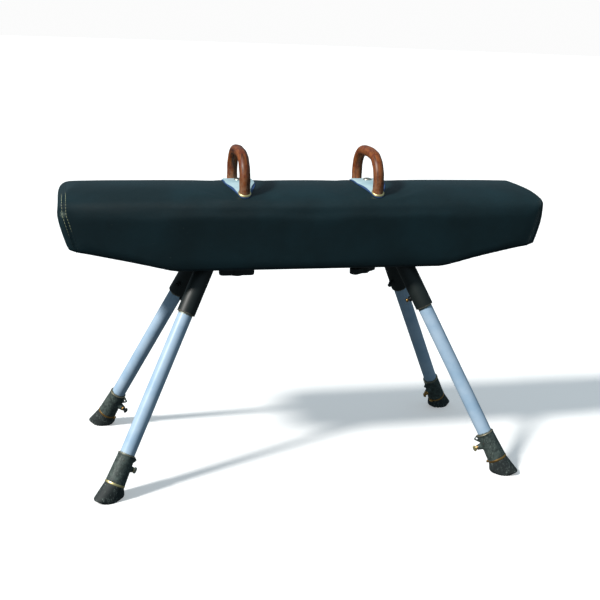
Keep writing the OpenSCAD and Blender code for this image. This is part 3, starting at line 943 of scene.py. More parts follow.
@dataclass
class SeamLine:
    """The seam that runs round one end of the body, parallel to its outline."""

    side: int
    inset: float
    end_x: float
    nose_z: float
    chin_back: float
    nose_over_chin: float

    def __post_init__(self) -> None:
        """Works out the seam's corner and the slope below it."""
        self.slope = self.chin_back / self.nose_over_chin
        out = Vector((self.nose_over_chin, 0, -self.chin_back)).normalized()
        self.below = Vector((self.side * out.x, 0, out.z))
        # Where the upright and the slanted offset lines meet
        drop = self.inset * (1 - out.x) / -out.z
        self.corner = Vector((self.side * (self.end_x - self.inset), 0, self.nose_z + drop))
        self.above = Vector((self.side, 0, 0))

    def distance(self, point: Vector) -> float:
        """Signed distance to the seam's surface, positive towards the end."""
        normal = self.above if point.z >= self.corner.z else self.below
        return (point - self.corner).dot(normal)

    def cut(self, bm: bmesh.types.BMesh, offset: float) -> None:
        """Adds a row of edges at an offset from the seam."""
        for normal in (self.above, self.below):
            sliced(bm, self.corner + normal * offset, normal, 1e-5)

    def trace(self, surface: BVHTree, offset: float, pitch: float) -> list[tuple[Vector, Vector]]:
        """Walks round the seam on the leather.

        Args:
            surface: the leather.
            offset: distance from the seam, positive towards the end.
            pitch: distance from point to point.

        Returns:
            Points with the surface's normal at each.
        """
        start = self.corner + self.above * offset
        ring = []
        for step in range(720):
            turn = math.tau * step / 720
            lean = min(0.0, math.sin(turn)) * self.slope * self.side
            ray = Vector((lean, math.cos(turn), math.sin(turn))).normalized()
            hit, normal, _, _ = surface.ray_cast(start, ray)
            if hit:
                ring.append((hit, normal))
        kept = [ring[0]]
        for hit, normal in ring[1:]:
            if (hit - kept[-1][0]).length >= pitch:
                kept.append((hit, normal))
        return kept


@dataclass
class PaddedBody:
    """The leather-covered body: one wrap and two end panels, seams, welts and stitches."""

    bench: Bench
    seam_in: float = 0.022
    chin_back: float = 0.034
    chin_rise: float = 0.072
    nose_rise: float = 0.183
    voxel: float = 0.0075
    slack: float = 0.002
    swell: float = 0.004
    pressure: float = 4.0
    frames: int = 20
    leather: float = 0.002
    felt_t: float = 0.012
    felt_voxel: float = 0.015
    groove: float = 0.0012
    welt_r: float = 0.0016
    stitch_pitch: float = 0.0085
    stitch_row: float = 0.0065
    rod_r: float = 0.008
    slot_gap: float = 0.0015
    seams: list[SeamLine] = field(default_factory=list)

    def __post_init__(self) -> None:
        """Reads the body's box and the pommels' places and travels from the frame."""
        boxes = [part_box(n) for n in ("cover", "end_cap_left", "end_cap_right")]
        self.low = Vector(min(b[0][i] for b in boxes) for i in range(3))
        self.high = Vector(max(b[1][i] for b in boxes) for i in range(3))
        nose_z = self.low.z + self.nose_rise
        self.seams = [SeamLine(side, self.seam_in, self.high.x, nose_z, self.chin_back,
                               self.nose_rise - self.chin_rise) for side in (-1, 1)]
        self.pommels = []
        for joint in self.bench.frame["joints"]:
            if joint["name"].startswith("pommel_slide_"):
                side = joint["name"].rsplit("_", 1)[1]
                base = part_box("pommel_base_" + side)
                middle = (base[0].x + base[1].x) / 2
                self.pommels.append((middle, base, joint["range_m"]))

    def form(self) -> bmesh.types.BMesh:
        """The body's outer form: the hull of the cover and its end caps, evenly meshed.

        Returns:
            The closed form.
        """
        bm = bmesh.new()
        for node in ("cover", "end_cap_left", "end_cap_right"):
            for vert in self.bench.frame["nodes"][node].data.vertices:
                bm.verts.new(vert.co)
        bmesh.ops.remove_doubles(bm, verts=bm.verts[:], dist=1e-5)
        made = bmesh.ops.convex_hull(bm, input=bm.verts[:])
        bmesh.ops.delete(bm, geom=[g for g in made["geom_interior"] if isinstance(g, bmesh.types.BMVert)],
                         context="VERTS")
        hull = BVHTree.FromBMesh(tidy(bm))
        out = fused([bm], self.voxel, smooth=0)
        for _ in range(6):
            smoothed(out)
            for vert in out.verts:
                vert.co = hull.find_nearest(vert.co)[0]
        return out

    def held_down(self, point: Vector) -> float:
        """1 where a pommel presses the leather down, 0 away from it.

        Args:
            point: a point of the piece.

        Returns:
            A share from 0 to 1.
        """
        best = 0.0
        for middle, base, travel in self.pommels:
            half = base[1].x - middle
            x_off = max(middle + travel[0] - half - point.x, point.x - middle - travel[1] - half, 0.0)
            y_off = max(abs(point.y) - base[1].y, 0.0)
            away = math.hypot(x_off, y_off)
            if point.z > self.low.z + 0.15:
                best = max(best, 1 - min(1.0, away / 0.03))
        return best * best * (3 - 2 * best)

    def pinned(self, point: Vector) -> bool:
        """Whether the leather can't lift here.

        Args:
            point: a point of the piece.

        Returns:
            True at the seams, on the boards and under the pommels.
        """
        on_board = point.z < self.low.z + 0.012
        seamed = any(abs(seam.distance(point)) < 0.007 for seam in self.seams)
        return on_board or seamed or self.held_down(point) > 0.6

    def blown(self, obj: bpy.types.Object) -> bpy.types.Mesh:
        """The mesh after the padding has pushed it out, by cloth simulation.

        Args:
            obj: the form, drawn in.

        Returns:
            A mesh with the same vertices.
        """
        held = obj.vertex_groups.new(name="held")
        held.add([v.index for v in obj.data.vertices if self.pinned(v.co)], 1.0, "REPLACE")
        cloth = obj.modifiers.new("leather", "CLOTH")
        cloth.settings.quality = 5
        cloth.settings.mass = 0.4
        cloth.settings.tension_stiffness = 18
        cloth.settings.compression_stiffness = 18
        cloth.settings.bending_stiffness = 1.5
        cloth.settings.use_pressure = True
        cloth.settings.uniform_pressure_force = self.pressure
        cloth.settings.effector_weights.gravity = 0
        cloth.settings.vertex_group_mass = "held"
        cloth.collision_settings.use_collision = False
        cloth.point_cache.frame_start = 1
        cloth.point_cache.frame_end = self.frames
        for step in range(1, self.frames + 1):
            bpy.context.scene.frame_set(step)
        mesh = evaluated(obj)
        bpy.context.scene.frame_set(1)
        return mesh

    def slack_at(self, point: Vector) -> float:
        """How far the leather starts inside the form: less at the seams, nothing where it is held.

        Args:
            point: a point of the piece.

        Returns:
            A distance in metres.
        """
        seam = min(abs(seam.distance(point)) for seam in self.seams)
        rise = min(1.0, max(0.0, (point.z - self.low.z) / 0.03))
        return self.slack * (1 - self.held_down(point)) * min(1.0, 0.3 + seam / 0.04) * rise

    def padded_form(self) -> bmesh.types.BMesh:
        """The outer form, drawn in a little and swollen again by the padding.

        Returns:
            The closed form.
        """
        bm = self.form()
        bm.normal_update()
        for vert in bm.verts:
            vert.co -= vert.normal * self.slack_at(vert.co)
        obj = as_object("swelling", bm)
        mesh = self.blown(obj)
        bm.verts.ensure_lookup_table()
        for vert, after in zip(bm.verts, mesh.vertices):
            shift = after.co - vert.co
            vert.co += shift * min(1.0, self.swell / max(shift.length, 1e-9))
        bpy.data.objects.remove(obj)
        return smoothed(bm, 2)

    def open_slots(self, bm: bmesh.types.BMesh) -> None:
        """Cuts the slots for the draw rods through top and underside.

        Args:
            bm: the leather or the felt, changed in place.
        """
        half = self.rod_r + self.slot_gap
        for middle, _, travel in self.pommels:
            x0, x1 = middle + travel[0] - half, middle + travel[1] + half
            walls = [(x0, 0, 1), (x1, 0, 1), (0, -half, 0), (0, half, 0)]
            for x, y, along in walls:
                near = [f for f in bm.faces if abs(f.calc_center_median().x - middle) < 0.07
                        and abs(f.calc_center_median().y) < 0.05]
                bmesh.ops.bisect_plane(bm, geom=with_rims(near), dist=1e-6, plane_co=(x, y, 0),
                                       plane_no=(along, 1 - along, 0))
            inside = [f for f in bm.faces if x0 < f.calc_center_median().x < x1
                      and abs(f.calc_center_median().y) < half]
            bmesh.ops.delete(bm, geom=inside, context="FACES")

    def panels(self) -> None:
        """Cuts the form at its seams into the wrap and the two end panels."""
        bm = self.padded_form()
        self.felt(bm.copy())
        for seam in self.seams:
            for offset in (-0.004, 0.0, 0.004):
                seam.cut(bm, offset)
        bm.normal_update()
        for vert in bm.verts:
            if any(abs(seam.distance(vert.co)) < 2e-5 for seam in self.seams):
                vert.co -= vert.normal * self.groove
        self.surface = BVHTree.FromBMesh(bm)
        names = {-1: "end_panel_left", 0: "body_wrap", 1: "end_panel_right"}
        nodes = {-1: "end_cap_left", 0: "cover", 1: "end_cap_right"}
        for part, name in names.items():
            kept = bm.copy()
            drop = [f for f in kept.faces if self.part_of(f.calc_center_median()) != part]
            bmesh.ops.delete(kept, geom=drop, context="FACES")
            if part == 0:
                self.open_slots(kept)
            obj = self.bench.piece(name, kept, Look.LEATHER, "horse", nodes[part], crease=70.0)
            wall = obj.modifiers.new("hide", "SOLIDIFY")
            wall.thickness = self.leather
            wall.offset = -1.0
        bm.free()

    def felt(self, form: bmesh.types.BMesh) -> None:
        """The felt under the leather: round the sides, the top and the ends, and none underneath.

        Args:
            form: a copy of the outer form, which is used up.
        """
        bm = fused([form], self.felt_voxel, smooth=0)
        bm.normal_update()
        for vert in bm.verts:
            vert.co -= vert.normal * (self.leather + 0.0006)
        under = [f for f in bm.faces if f.normal.z < -0.75 and abs(f.calc_center_median().y) < 0.152]
        bmesh.ops.delete(bm, geom=under, context="FACES")
        self.open_slots(bm)
        obj = self.bench.piece("felt_pad", bm, Look.FELT, "horse", "padding", crease=70.0)
        wall = obj.modifiers.new("felt", "SOLIDIFY")
        wall.thickness = self.felt_t
        wall.offset = -1.0

    def part_of(self, point: Vector) -> int:
        """-1 or 1 for a point beyond a seam, 0 for the wrap."""
        return next((seam.side for seam in self.seams
                     if point.x * seam.side > 0 and seam.distance(point) > 0), 0)

    def welt(self, seam: SeamLine, name: str) -> None:
        """The thin piping that is sewn into a seam.

        Args:
            seam: the seam that it follows.
            name: the piece's name.
        """
        ring = seam.trace(self.surface, 0.0, 0.006)
        line = bpy.data.curves.new(name, "CURVE")
        line.dimensions = "3D"
        line.bevel_depth = self.welt_r
        line.bevel_resolution = 2
        spline = line.splines.new("POLY")
        spline.points.add(len(ring) - 1)
        spline.use_cyclic_u = True
        for point, (hit, normal) in zip(spline.points, ring):
            point.co = (*(hit + normal * self.welt_r * 0.1), 1.0)
        holder = placed(name, line)
        bm = bmesh.new()
        bm.from_mesh(evaluated(holder))
        bpy.data.objects.remove(holder)
        self.bench.piece(name, tidy(bm), Look.LEATHER, "horse", crease=80.0)

    def stitches(self, seam: SeamLine, name: str) -> None:
        """A row of stitches on each side of a seam.

        Args:
            seam: the seam that it follows.
            name: the piece's name.
        """
        bm = bmesh.new()
        for offset in (-self.stitch_row, self.stitch_row * 0.8):
            ring = seam.trace(self.surface, offset, self.stitch_pitch)
            for (a, normal), (b, _) in zip(ring, ring[1:]):
                along = b - a
                side = normal.cross(along).normalized()
                turn = Matrix((along.normalized(), side, normal)).transposed().to_4x4()
                place = Matrix.Translation(a.lerp(b, 0.5) + normal * 0.0003) @ turn
                place = place @ Matrix.Diagonal((along.length * 0.36, 0.0006, 0.0006, 1.0))
                bmesh.ops.create_uvsphere(bm, u_segments=8, v_segments=5, radius=1.0, matrix=place
                                          @ Matrix.Rotation(math.pi / 2, 4, "Y"))
        self.bench.piece(name, bm, Look.THREAD, "horse", crease=80.0)

    def hems(self) -> None:
        """Leather strips along the underside, under the rows of tacks."""
        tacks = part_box("cover_tacks")
        for side, name in ((-1, "hem_front"), (1, "hem_rear")):
            middle = side * (tacks[1].y - 0.0045)
            length = tacks[1].x + 0.012
            strip = prism([(-length, middle - 0.012), (length, middle - 0.012),
                           (length, middle + 0.012), (-length, middle + 0.012)],
                          self.low.z - 0.0009, self.low.z + 0.001)
            for step in range(1, 60):
                sliced(strip, (length * (step / 30 - 1), 0, 0), (1, 0, 0))
            for vert in strip.verts:
                vert.co.y += 0.0007 * math.sin(vert.co.x * 61) * (1 if vert.co.y > middle else 0.6)
            self.bench.piece(name, soften(strip, 0.0004), Look.LEATHER, "horse")

    def build(self) -> None:
        """Makes every piece of the body."""
        self.panels()
        for seam, side in zip(self.seams, ("left", "right")):
            self.welt(seam, "seam_welt_" + side)
            self.stitches(seam, "seam_stitches_" + side)
        self.hems()


# ---------- legs, sleeves and feet ----------


class Head(Enum):
    """The head of a clamp screw."""

    HEX = "hex"
    PADDLE = "paddle"


@dataclass
class ClampScrew:
    """A clamp screw along +X of its own frame, with a rolled thread."""

    bench: Bench
    shank_d: float
    tip: float
    head: float
    kind: Head
    pitch: float = 0.0015

    def thread(self) -> bmesh.types.BMesh:
        """The shank, as rings of thread from the tip to the head.

        Returns:
            The closed shape.
        """
        crest, root = self.shank_d / 2, self.shank_d / 2 - 0.0005
        turns = int((self.head - self.tip - 0.003) / self.pitch)
        profile = [(0.0, self.tip), (root, self.tip), (root, self.tip + 0.0015)]
        for turn in range(turns):
            low = self.tip + 0.0015 + turn * self.pitch
            profile += [(crest, low + self.pitch * 0.4), (crest, low + self.pitch * 0.6),
                        (root, low + self.pitch)]
        profile += [(root, self.head + 0.001), (0.0, self.head + 0.001)]
        return turned(profile, closed=False, segments=24)

    def knob(self) -> bmesh.types.BMesh:
        """The head.

        Returns:
            The closed shapes.
        """
        if self.kind is Head.HEX:
            bm = plug(0.0075, 0.006, 6, Matrix.Translation((0, 0, self.head + 0.003)))
            cap = turned([(0, self.head + 0.0055), (0.0055, self.head + 0.0055),
                          (0.0045, self.head + 0.0068), (0, self.head + 0.0072)], closed=False, segments=24)
            return joined([soften(bm, 0.0009, 2), cap])
        bm = plug(0.0105, 0.006, 40, Matrix.Rotation(math.pi / 2, 4, "X"))
        moved(bm, Matrix.Translation((0, 0, self.head + 0.006)) @ Matrix.Diagonal((1, 1, 6 / 10.5, 1)))
        collar = turned([(0, self.head - 0.003), (0.0062, self.head - 0.003), (0.0062, self.head),
                         (0.004, self.head + 0.002), (0, self.head + 0.002)], closed=False, segments=24)
        return joined([soften(bm, 0.0014, 3, angle=60.0), collar])

    def build(self, name: str, look: Look, body: str, node: str, matrix: Matrix) -> None:
        """Makes the screw in its place; its frame's +X becomes the lathe's +Z."""
        along = Matrix.Rotation(math.pi / 2, 4, "Y")
        self.bench.piece(name, joined([self.thread(), self.knob()]), look, body, node, matrix=matrix @ along)


@dataclass
class Leg:
    """One telescopic leg: sleeve, tube, cast foot, hoof and their clamp screws."""

    bench: Bench
    key: str
    tube_d: float = 0.0483
    tube_wall: float = 0.0032
    sleeve_d: float = 0.0603
    sleeve_wall: float = 0.0051
    sleeve_drop: float = 0.169
    sleeve_rise: float = 0.177
    cap_t: float = 0.005
    socket_len: float = 0.098
    rim_d: float = 0.057
    band_d: float = 0.064
    hoof_len: float = 0.058
    sleeve_screw_up: float = 0.042
    foot_screw_down: float = 0.042
    boss_len: float = 0.016

    def __post_init__(self) -> None:
        """Finds the leg's own frame from its sliding joint and its sleeve screw's joint."""
        joints = {j["name"]: j for j in self.bench.frame["joints"]}
        up = -Vector(joints["leg_extend_" + self.key]["axis"]).normalized()
        out = up.cross(Vector((0, 0, 1)).cross(up)).normalized()
        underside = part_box("cover")[0].z
        pivot = joints["foot_clamp_turn_" + self.key]
        # The foot screw's axis meets the leg's axis; follow the leg up to the underside from there
        self.screw_out = Vector(pivot["axis"]).normalized()
        foot = Vector(pivot["pos_m"])
        foot -= self.screw_out * (foot - self.axis_point()).dot(self.screw_out)
        hip = foot + up * ((underside - foot.z) / up.z)
        self.length = underside / up.z
        rows = Matrix((out, up.cross(out), up)).transposed().to_4x4()
        self.matrix = Matrix.Translation(hip) @ rows
        self.band_z = self.hoof_len - self.length
        self.rim_z = self.band_z + self.socket_len
        axis = Vector(joints["sleeve_clamp_turn_" + self.key]["axis"])
        axis = self.matrix.to_3x3().inverted() @ axis
        self.sleeve_turn = math.atan2(axis.y, axis.x)

    def axis_point(self) -> Vector:
        """A point on the leg's axis: the middle of its tube."""
        low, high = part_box("leg_tube_" + self.key)
        return (low + high) / 2

    def on_screw(self, height: float, turn: float) -> Matrix:
        """Frame of a clamp screw: +X out along it."""
        return self.matrix @ Matrix.Translation((0, 0, height)) @ Matrix.Rotation(turn, 4, "Z")

    def boss_frame(self) -> Matrix:
        """Frame of the foot's screw boss, in the leg's own frame: +Z out along it."""
        down = Matrix.Translation((0, 0, self.rim_z - self.foot_screw_down))
        return down @ Matrix.Rotation(math.pi, 4, "Z") @ Matrix.Rotation(math.pi / 2, 4, "Y")

    def sleeve(self) -> None:
        """The fixed sleeve, with a turned mouth that the tube has rubbed bright."""
        r, bore, low = self.sleeve_d / 2, self.sleeve_d / 2 - self.sleeve_wall, -self.sleeve_drop
        bm = turned([(bore, low), (r, low), (r, self.sleeve_rise), (0.0, self.sleeve_rise),
                     (0.0, self.sleeve_rise - self.cap_t), (bore, self.sleeve_rise - self.cap_t)])
        for height in (low + 0.012, low + 0.004):
            sliced(bm, (0, 0, height), (0, 0, 1))
        soften(bm, 0.0008, 2)
        self.bench.piece("sleeve_shell_" + self.key, bm, Look.BLACK, "horse", "sleeve_" + self.key,
                         matrix=self.matrix, wear=lambda p: max(0.0, 1 - (p.z - low) / 0.006))

    def tube(self) -> None:
        """The sliding tube, with a rubbed ring where it enters the sleeve and the foot."""
        r, bore = self.tube_d / 2, self.tube_d / 2 - self.tube_wall
        low, high = self.band_z + 0.0063, self.sleeve_rise - self.cap_t - 0.0003
        bm = turned([(bore, low), (r, low), (r, high), (bore, high)])
        rings = (-self.sleeve_drop - 0.010, -self.sleeve_drop - 0.002, -self.sleeve_drop + 0.01,
                 self.rim_z - 0.002, self.rim_z + 0.010)
        for height in rings:
            sliced(bm, (0, 0, height), (0, 0, 1))
        soften(bm, 0.0005, 2, angle=60.0)

        def wear(point: Vector) -> float:
            """Rubbed just outside the sleeve's mouth and the foot's rim.

            Args:
                point: a point of the piece.

            Returns:
                A share from 0 to 1.
            """
            if point.z > -self.sleeve_drop - 0.005 or point.z < self.rim_z + 0.005:
                return 0.9
            return 0.05

        self.bench.piece("tube_" + self.key, bm, Look.ENAMEL, "leg_" + self.key, "leg_tube_" + self.key,
                         matrix=self.matrix, wear=wear)

    def lug(self) -> bmesh.types.BMesh:
        """The pointed ear under the rim, with its eye.

        Returns:
            The lug in the leg's own frame.
        """
        root = self.rim_d / 2 - 0.001
        points = [(-root + 0.003, 0), (-root - 0.005, 0), (-root - 0.019, -0.009), (-root - 0.017, -0.014),
                  (-root, -0.032), (-root + 0.003, -0.032)]
        ear = prism([(x, z + self.rim_z) for x, z in points], -0.004, 0.004)
        eye = plug(0.004, 0.03, 32, Matrix.Translation((-root - 0.009, self.rim_z - 0.011, 0)))
        return moved(carved(ear, eye), Matrix.Rotation(math.pi / 2, 4, "X"))

    def socket(self) -> None:
        """The cast socket with its screw boss and lug, grown into one casting."""
        r_top, r_low, bore = self.rim_d / 2, self.band_d / 2, 0.0249
        shell = turned([(bore, self.band_z + 0.006), (0.0, self.band_z + 0.006), (0.0, self.band_z),
                        (r_low - 0.001, self.band_z), (r_low - 0.001, self.band_z + 0.004),
                        (r_low, self.band_z + 0.004), (r_top - 0.0004, self.rim_z - 0.006),
                        (r_top + 0.0006, self.rim_z - 0.005), (r_top + 0.0006, self.rim_z),
                        (bore, self.rim_z)])
        reach = r_top + self.boss_len
        boss = turned([(0.0056, r_top - 0.002), (0.0150, r_top - 0.006), (0.0118, r_top + 0.004),
                       (0.0095, reach), (0.0056, reach)], segments=32)
        bm = fused([shell, moved(boss, self.boss_frame()), self.lug()], 0.0014, smooth=2)

        def wear(point: Vector) -> float:
            """Rubbed along the rim, and round the edge that meets the band.

            Args:
                point: a point of the piece.

            Returns:
                A share from 0 to 1.
            """
            rim = 1 - min(1.0, (self.rim_z - point.z) / 0.004)
            band = 1 - min(1.0, abs(point.z - self.band_z - 0.004) / 0.002)
            return max(rim, band * 0.8)

        self.bench.piece("foot_casting_" + self.key, bm, Look.IRON, "foot_" + self.key,
                         "foot_socket_" + self.key, matrix=self.matrix, wear=wear, crease=60.0)

    def band(self) -> None:
        """The clamp band with its ear and bolt, and the lock nut on the boss."""
        r, z = self.band_d / 2, self.band_z
        ring = turned([(r - 0.0008, z - 0.0034), (r + 0.0004, z - 0.0034), (r + 0.0009, z - 0.002),
                       (r + 0.0009, z + 0.002), (r + 0.0004, z + 0.0034), (r - 0.0008, z + 0.0034)])
        ear = prism([(-r - 0.007, -0.004), (-r + 0.001, -0.005), (-r + 0.001, 0.005), (-r - 0.007, 0.004)],
                    z - 0.003, z + 0.003)
        bolt = plug(0.0035, 0.014, 6,
                    Matrix.Translation((-r - 0.0038, 0, z)) @ Matrix.Rotation(math.pi / 2, 4, "X"))
        nut = turned([(0.0056, 0), (0.009, 0), (0.009, 0.004), (0.0056, 0.004)], segments=32)
        reach = self.rim_d / 2 + self.boss_len + 0.0001
        moved(soften(nut, 0.0007, 2), self.boss_frame() @ Matrix.Translation((0, 0, reach)))
        bm = joined([ring, soften(ear, 0.001, 2), soften(bolt, 0.0005, 2, angle=50.0), nut])
        look = Look.RIM if self.key == "fl" else Look.BRASS
        self.bench.piece("foot_band_" + self.key, bm, look, "foot_" + self.key, "foot_trim_" + self.key,
                         matrix=self.matrix)

    def hoof(self) -> None:
        """The rubber hoof: the CAD hull rounded off, with grooves across its flat sole."""
        bm = bmesh.new()
        bm.from_mesh(self.bench.frame["nodes"]["hoof_" + self.key].data)
        bmesh.ops.remove_doubles(bm, verts=bm.verts[:], dist=1e-5)
        bm = fused([bm], 0.0018, smooth=6)
        flat = 0.0012
        toe = self.matrix.to_3x3() @ Vector((1, 0, 0))
        for vert in bm.verts:
            if vert.co.z < flat:
                along = vert.co.dot(Vector((toe.x, toe.y, 0)).normalized())
                vert.co.z = 0.0014 if math.sin(along * math.tau / 0.009) > 0.55 else 0.0
        self.bench.piece("hoof_shell_" + self.key, tidy(bm), Look.HOOF, "foot_" + self.key,
                         "hoof_" + self.key, crease=60.0)

    def screws(self) -> None:
        """The sleeve's hex screw and the foot's paddle screw."""
        tip = self.tube_d / 2 + 0.0004
        sleeve = ClampScrew(self.bench, 0.008, tip, self.sleeve_d / 2 + 0.014, Head.HEX, pitch=0.00125)
        brassy = Look.BRASS if self.key == "fr" else Look.BLACK
        sleeve.build("sleeve_clamp_screw_" + self.key, brassy, "sleeve_clamp_" + self.key,
                     "sleeve_screw_" + self.key,
                     self.on_screw(self.sleeve_screw_up - self.sleeve_drop, self.sleeve_turn))
        head = self.rim_d / 2 + self.boss_len + 0.008
        foot = ClampScrew(self.bench, 0.010, tip, head, Head.PADDLE)
        looks = {"fl": Look.ZINC, "fr": Look.RIM, "rl": Look.BLACK, "rr": Look.BRASS}
        foot.build("foot_clamp_screw_" + self.key, looks[self.key], "foot_clamp_" + self.key,
                   "foot_screw_" + self.key, self.on_screw(self.rim_z - self.foot_screw_down, math.pi))

    def build(self) -> None:
        """Makes every piece of the leg."""
        self.sleeve()
        self.tube()
        self.socket()
        self.band()
        self.hoof()
        self.screws()


# ---------- pommels ----------


@dataclass
class Pommel:
    """One pommel: bent grip, rims, base plate, packing, draw rod and hand nut."""

    bench: Bench
    side: str
    grip_d: float = 0.035
    bend_r: float = 0.078
    arc_half: float = math.radians(8)
    crown_r: float = 0.370
    packing_t: float = 0.002
    base_t: float = 0.0035
    base_rim: float = 0.002
    base_flank: tuple[tuple[float, float], ...] = ((0.047, 0.042), (0.030, 0.080))
    packing_flank: tuple[tuple[float, float], ...] = ((0.051, 0.036), (0.044, 0.066), (0.031, 0.102))
    rod_d: float = 0.016
    dome_d: float = 0.030
    nut_span: float = 0.128
    nut_h: float = 0.051
    arm_w: float = 0.034
    arm_h: float = 0.024

    def __post_init__(self) -> None:
        """Reads the grip's place from the frame and works out its centre line."""
        low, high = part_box("pommel_grip_" + self.side)
        self.x = (low.x + high.x) / 2
        self.r = self.grip_d / 2
        self.half = high.y - self.r
        self.top = high.z - self.r
        self.arc_r = (self.half - self.bend_r * (1 - math.sin(self.arc_half))) / math.sin(self.arc_half)
        sink = self.arc_r * (1 - math.cos(self.arc_half))
        self.bend_z = self.top - sink - self.bend_r * math.cos(self.arc_half)
        self.crown_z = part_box("cover")[1].z - self.crown_r
        self.plate_r = self.crown_r + 0.0003 + self.packing_t
        self.end_r = self.r + self.base_rim

    def lift(self, y: float, radius: float) -> float:
        """Height of a shell of that radius over the crown."""
        return self.crown_z + math.sqrt(radius ** 2 - y ** 2)

    def unbent(self, point: Vector) -> Vector:
        """A point of the grip as it was on the straight rod: across, across, along.

        Args:
            point: a point on the bent rod.

        Returns:
            The point on the straight rod.
        """
        y, z, sign = abs(point.y), point.z, (1 if point.y > 0 else -1)
        arc, bend = self.arc_r * self.arc_half, self.bend_r * (math.pi / 2 - self.arc_half)
        if z < self.bend_z:
            return Vector((point.x, y - self.half, sign * (arc + bend + self.bend_z - z)))
        from_bend = Vector((y - self.half + self.bend_r, z - self.bend_z))
        turn = math.atan2(from_bend.y, from_bend.x)
        if turn < math.pi / 2 - self.arc_half and y > self.half - self.bend_r:
            return Vector((point.x, from_bend.length - self.bend_r, sign * (arc + bend - self.bend_r * turn)))
        from_arc = Vector((y, z - self.top + self.arc_r))
        turn = math.atan2(from_arc.x, from_arc.y)
        return Vector((point.x, from_arc.length - self.arc_r, sign * self.arc_r * turn))

    def grip(self) -> None:
        """The bent rod, swept in one go: a leg, a bend, the flatter top, a bend, a leg."""
        bm = bmesh.new()
        foot = self.crown_z + self.plate_r * 0.93
        made = bmesh.ops.create_circle(bm, cap_ends=False, segments=40, radius=self.r,
                                       matrix=Matrix.Translation((self.x, self.half, foot)))
        edges = list({e for v in made["verts"] for e in v.link_edges})

        def straight(edges: list, height: float, steps: int) -> list:
            """Extrudes the last ring along Z.

            Args:
                edges: the edges of the last ring.
                height: the whole length added, downwards if negative.
                steps: how many rings are added.

            Returns:
                The edges of the new last ring.
            """
            for _ in range(steps):
                out = bmesh.ops.extrude_edge_only(bm, edges=edges)["geom"]
                verts = [g for g in out if isinstance(g, bmesh.types.BMVert)]
                bmesh.ops.translate(bm, verts=verts, vec=(0, 0, height / steps))
                edges = [g for g in out if isinstance(g, bmesh.types.BMEdge)]
            return edges

        def sweep(edges: list, centre: Point, turn: float, steps: int) -> list:
            """Spins the last ring about a line along X.

            Args:
                edges: the edges of the last ring.
                centre: a point of the line.
                turn: the angle, in radians.
                steps: how many rings are added.

            Returns:
                The edges of the new last ring.
            """
            geom = edges + list({v for e in edges for v in e.verts})
            out = bmesh.ops.spin(bm, geom=geom, axis=(1, 0, 0), cent=centre, steps=steps, angle=turn,
                                 use_merge=False, use_duplicate=False)["geom_last"]
            return [g for g in out if isinstance(g, bmesh.types.BMEdge)]

        bend = math.pi / 2 - self.arc_half
        edges = straight(edges, self.bend_z - foot, 6)
        edges = sweep(edges, (self.x, self.half - self.bend_r, self.bend_z), bend, 14)
        edges = sweep(edges, (self.x, 0, self.top - self.arc_r), 2 * self.arc_half, 10)
        edges = sweep(edges, (self.x, self.bend_r - self.half, self.bend_z), bend, 14)
        straight(edges, foot - self.bend_z, 6)
        tilt = math.asin(self.half / (self.plate_r + self.base_t))
        seat_z = self.lift(self.half, self.plate_r + self.base_t) - 0.0015
        for sign in (-1, 1):
            normal = Vector((0, sign * math.sin(tilt), math.cos(tilt)))
            near = [f for f in bm.faces if f.calc_center_median().y * sign > self.half - 0.04]
            bmesh.ops.bisect_plane(bm, geom=with_rims(near), plane_co=(0, sign * self.half, seat_z),
                                   plane_no=normal, clear_inner=True)
        bmesh.ops.holes_fill(bm, edges=[e for e in bm.edges if e.is_boundary], sides=0)
        tidy(bm)
        for vert in bm.verts:
            wave = math.sin(vert.co.z * 140 + vert.co.y * 90 + self.x * 50)
            vert.co += vert.normal * 0.0003 * wave
        self.bench.piece("grip_" + self.side, bm, Look.GRIP, "pommel_" + self.side,
                         "pommel_grip_" + self.side, grain=self.unbent, crease=50.0)

    def plan(self, flank: tuple[tuple[float, float], ...], end: float) -> bmesh.types.BMesh:
        """A flat outline with round ends under the grip's feet.

        Args:
            flank: a quarter of its side, as (x, y) from the middle outwards.
            end: radius of its ends.

        Returns:
            One face.
        """
        bm = bmesh.new()
        tip = self.half + end
        quarter = [*flank, (end, self.half), (end, tip)]
        right = [(x, -y) for x, y in reversed(quarter)] + quarter
        outline = right + [(-x, y) for x, y in reversed(right)]
        bm.faces.new([bm.verts.new((x + self.x, y, 0)) for x, y in outline])

        def rounded(heights: tuple[float, ...], offset: float, segments: int) -> None:
            """Rounds the corners at some distances from the middle.

            Args:
                heights: distances of the corners from the middle.
                offset: how far the rounding reaches.
                segments: steps of the rounding.
            """
            corners = [v for v in bm.verts if any(abs(abs(v.co.y) - y) < 1e-6 for y in heights)]
            bmesh.ops.bevel(bm, geom=corners, offset=offset, offset_type="OFFSET", segments=segments,
                            profile=0.5, affect="VERTICES", clamp_overlap=True, material=-1)

        rounded((tip,), end * 0.98, 12)
        rounded(tuple(y for _, y in flank), 0.011, 5)
        return bm

    def layer(self, low: float, high: float, outline: bmesh.types.BMesh, edge: float) -> bmesh.types.BMesh:
        """An outline given a thickness between two radii, and bent over the crown.

        Args:
            low: radius of the lower side.
            high: radius of the upper side.
            outline: the flat face, which is changed in place.
            edge: width of the bevel along its edges.

        Returns:
            The bent layer.
        """
        bm = outline
        raised(bm, bm.faces[:], high - low)
        soften(tidy(bm), edge, 2, angle=50.0)
        reach = max(v.co.y for v in bm.verts)
        for step in range(1, 48):
            sliced(bm, (0, reach * (step / 24 - 1), 0), (0, 1, 0), 1e-6)
        for vert in bm.verts:
            vert.co.z = self.lift(vert.co.y, low + vert.co.z)
        return bm

    def plate(self) -> None:
        """The base plate and the packing under it."""
        top = self.plate_r + self.base_t
        body = "pommel_" + self.side

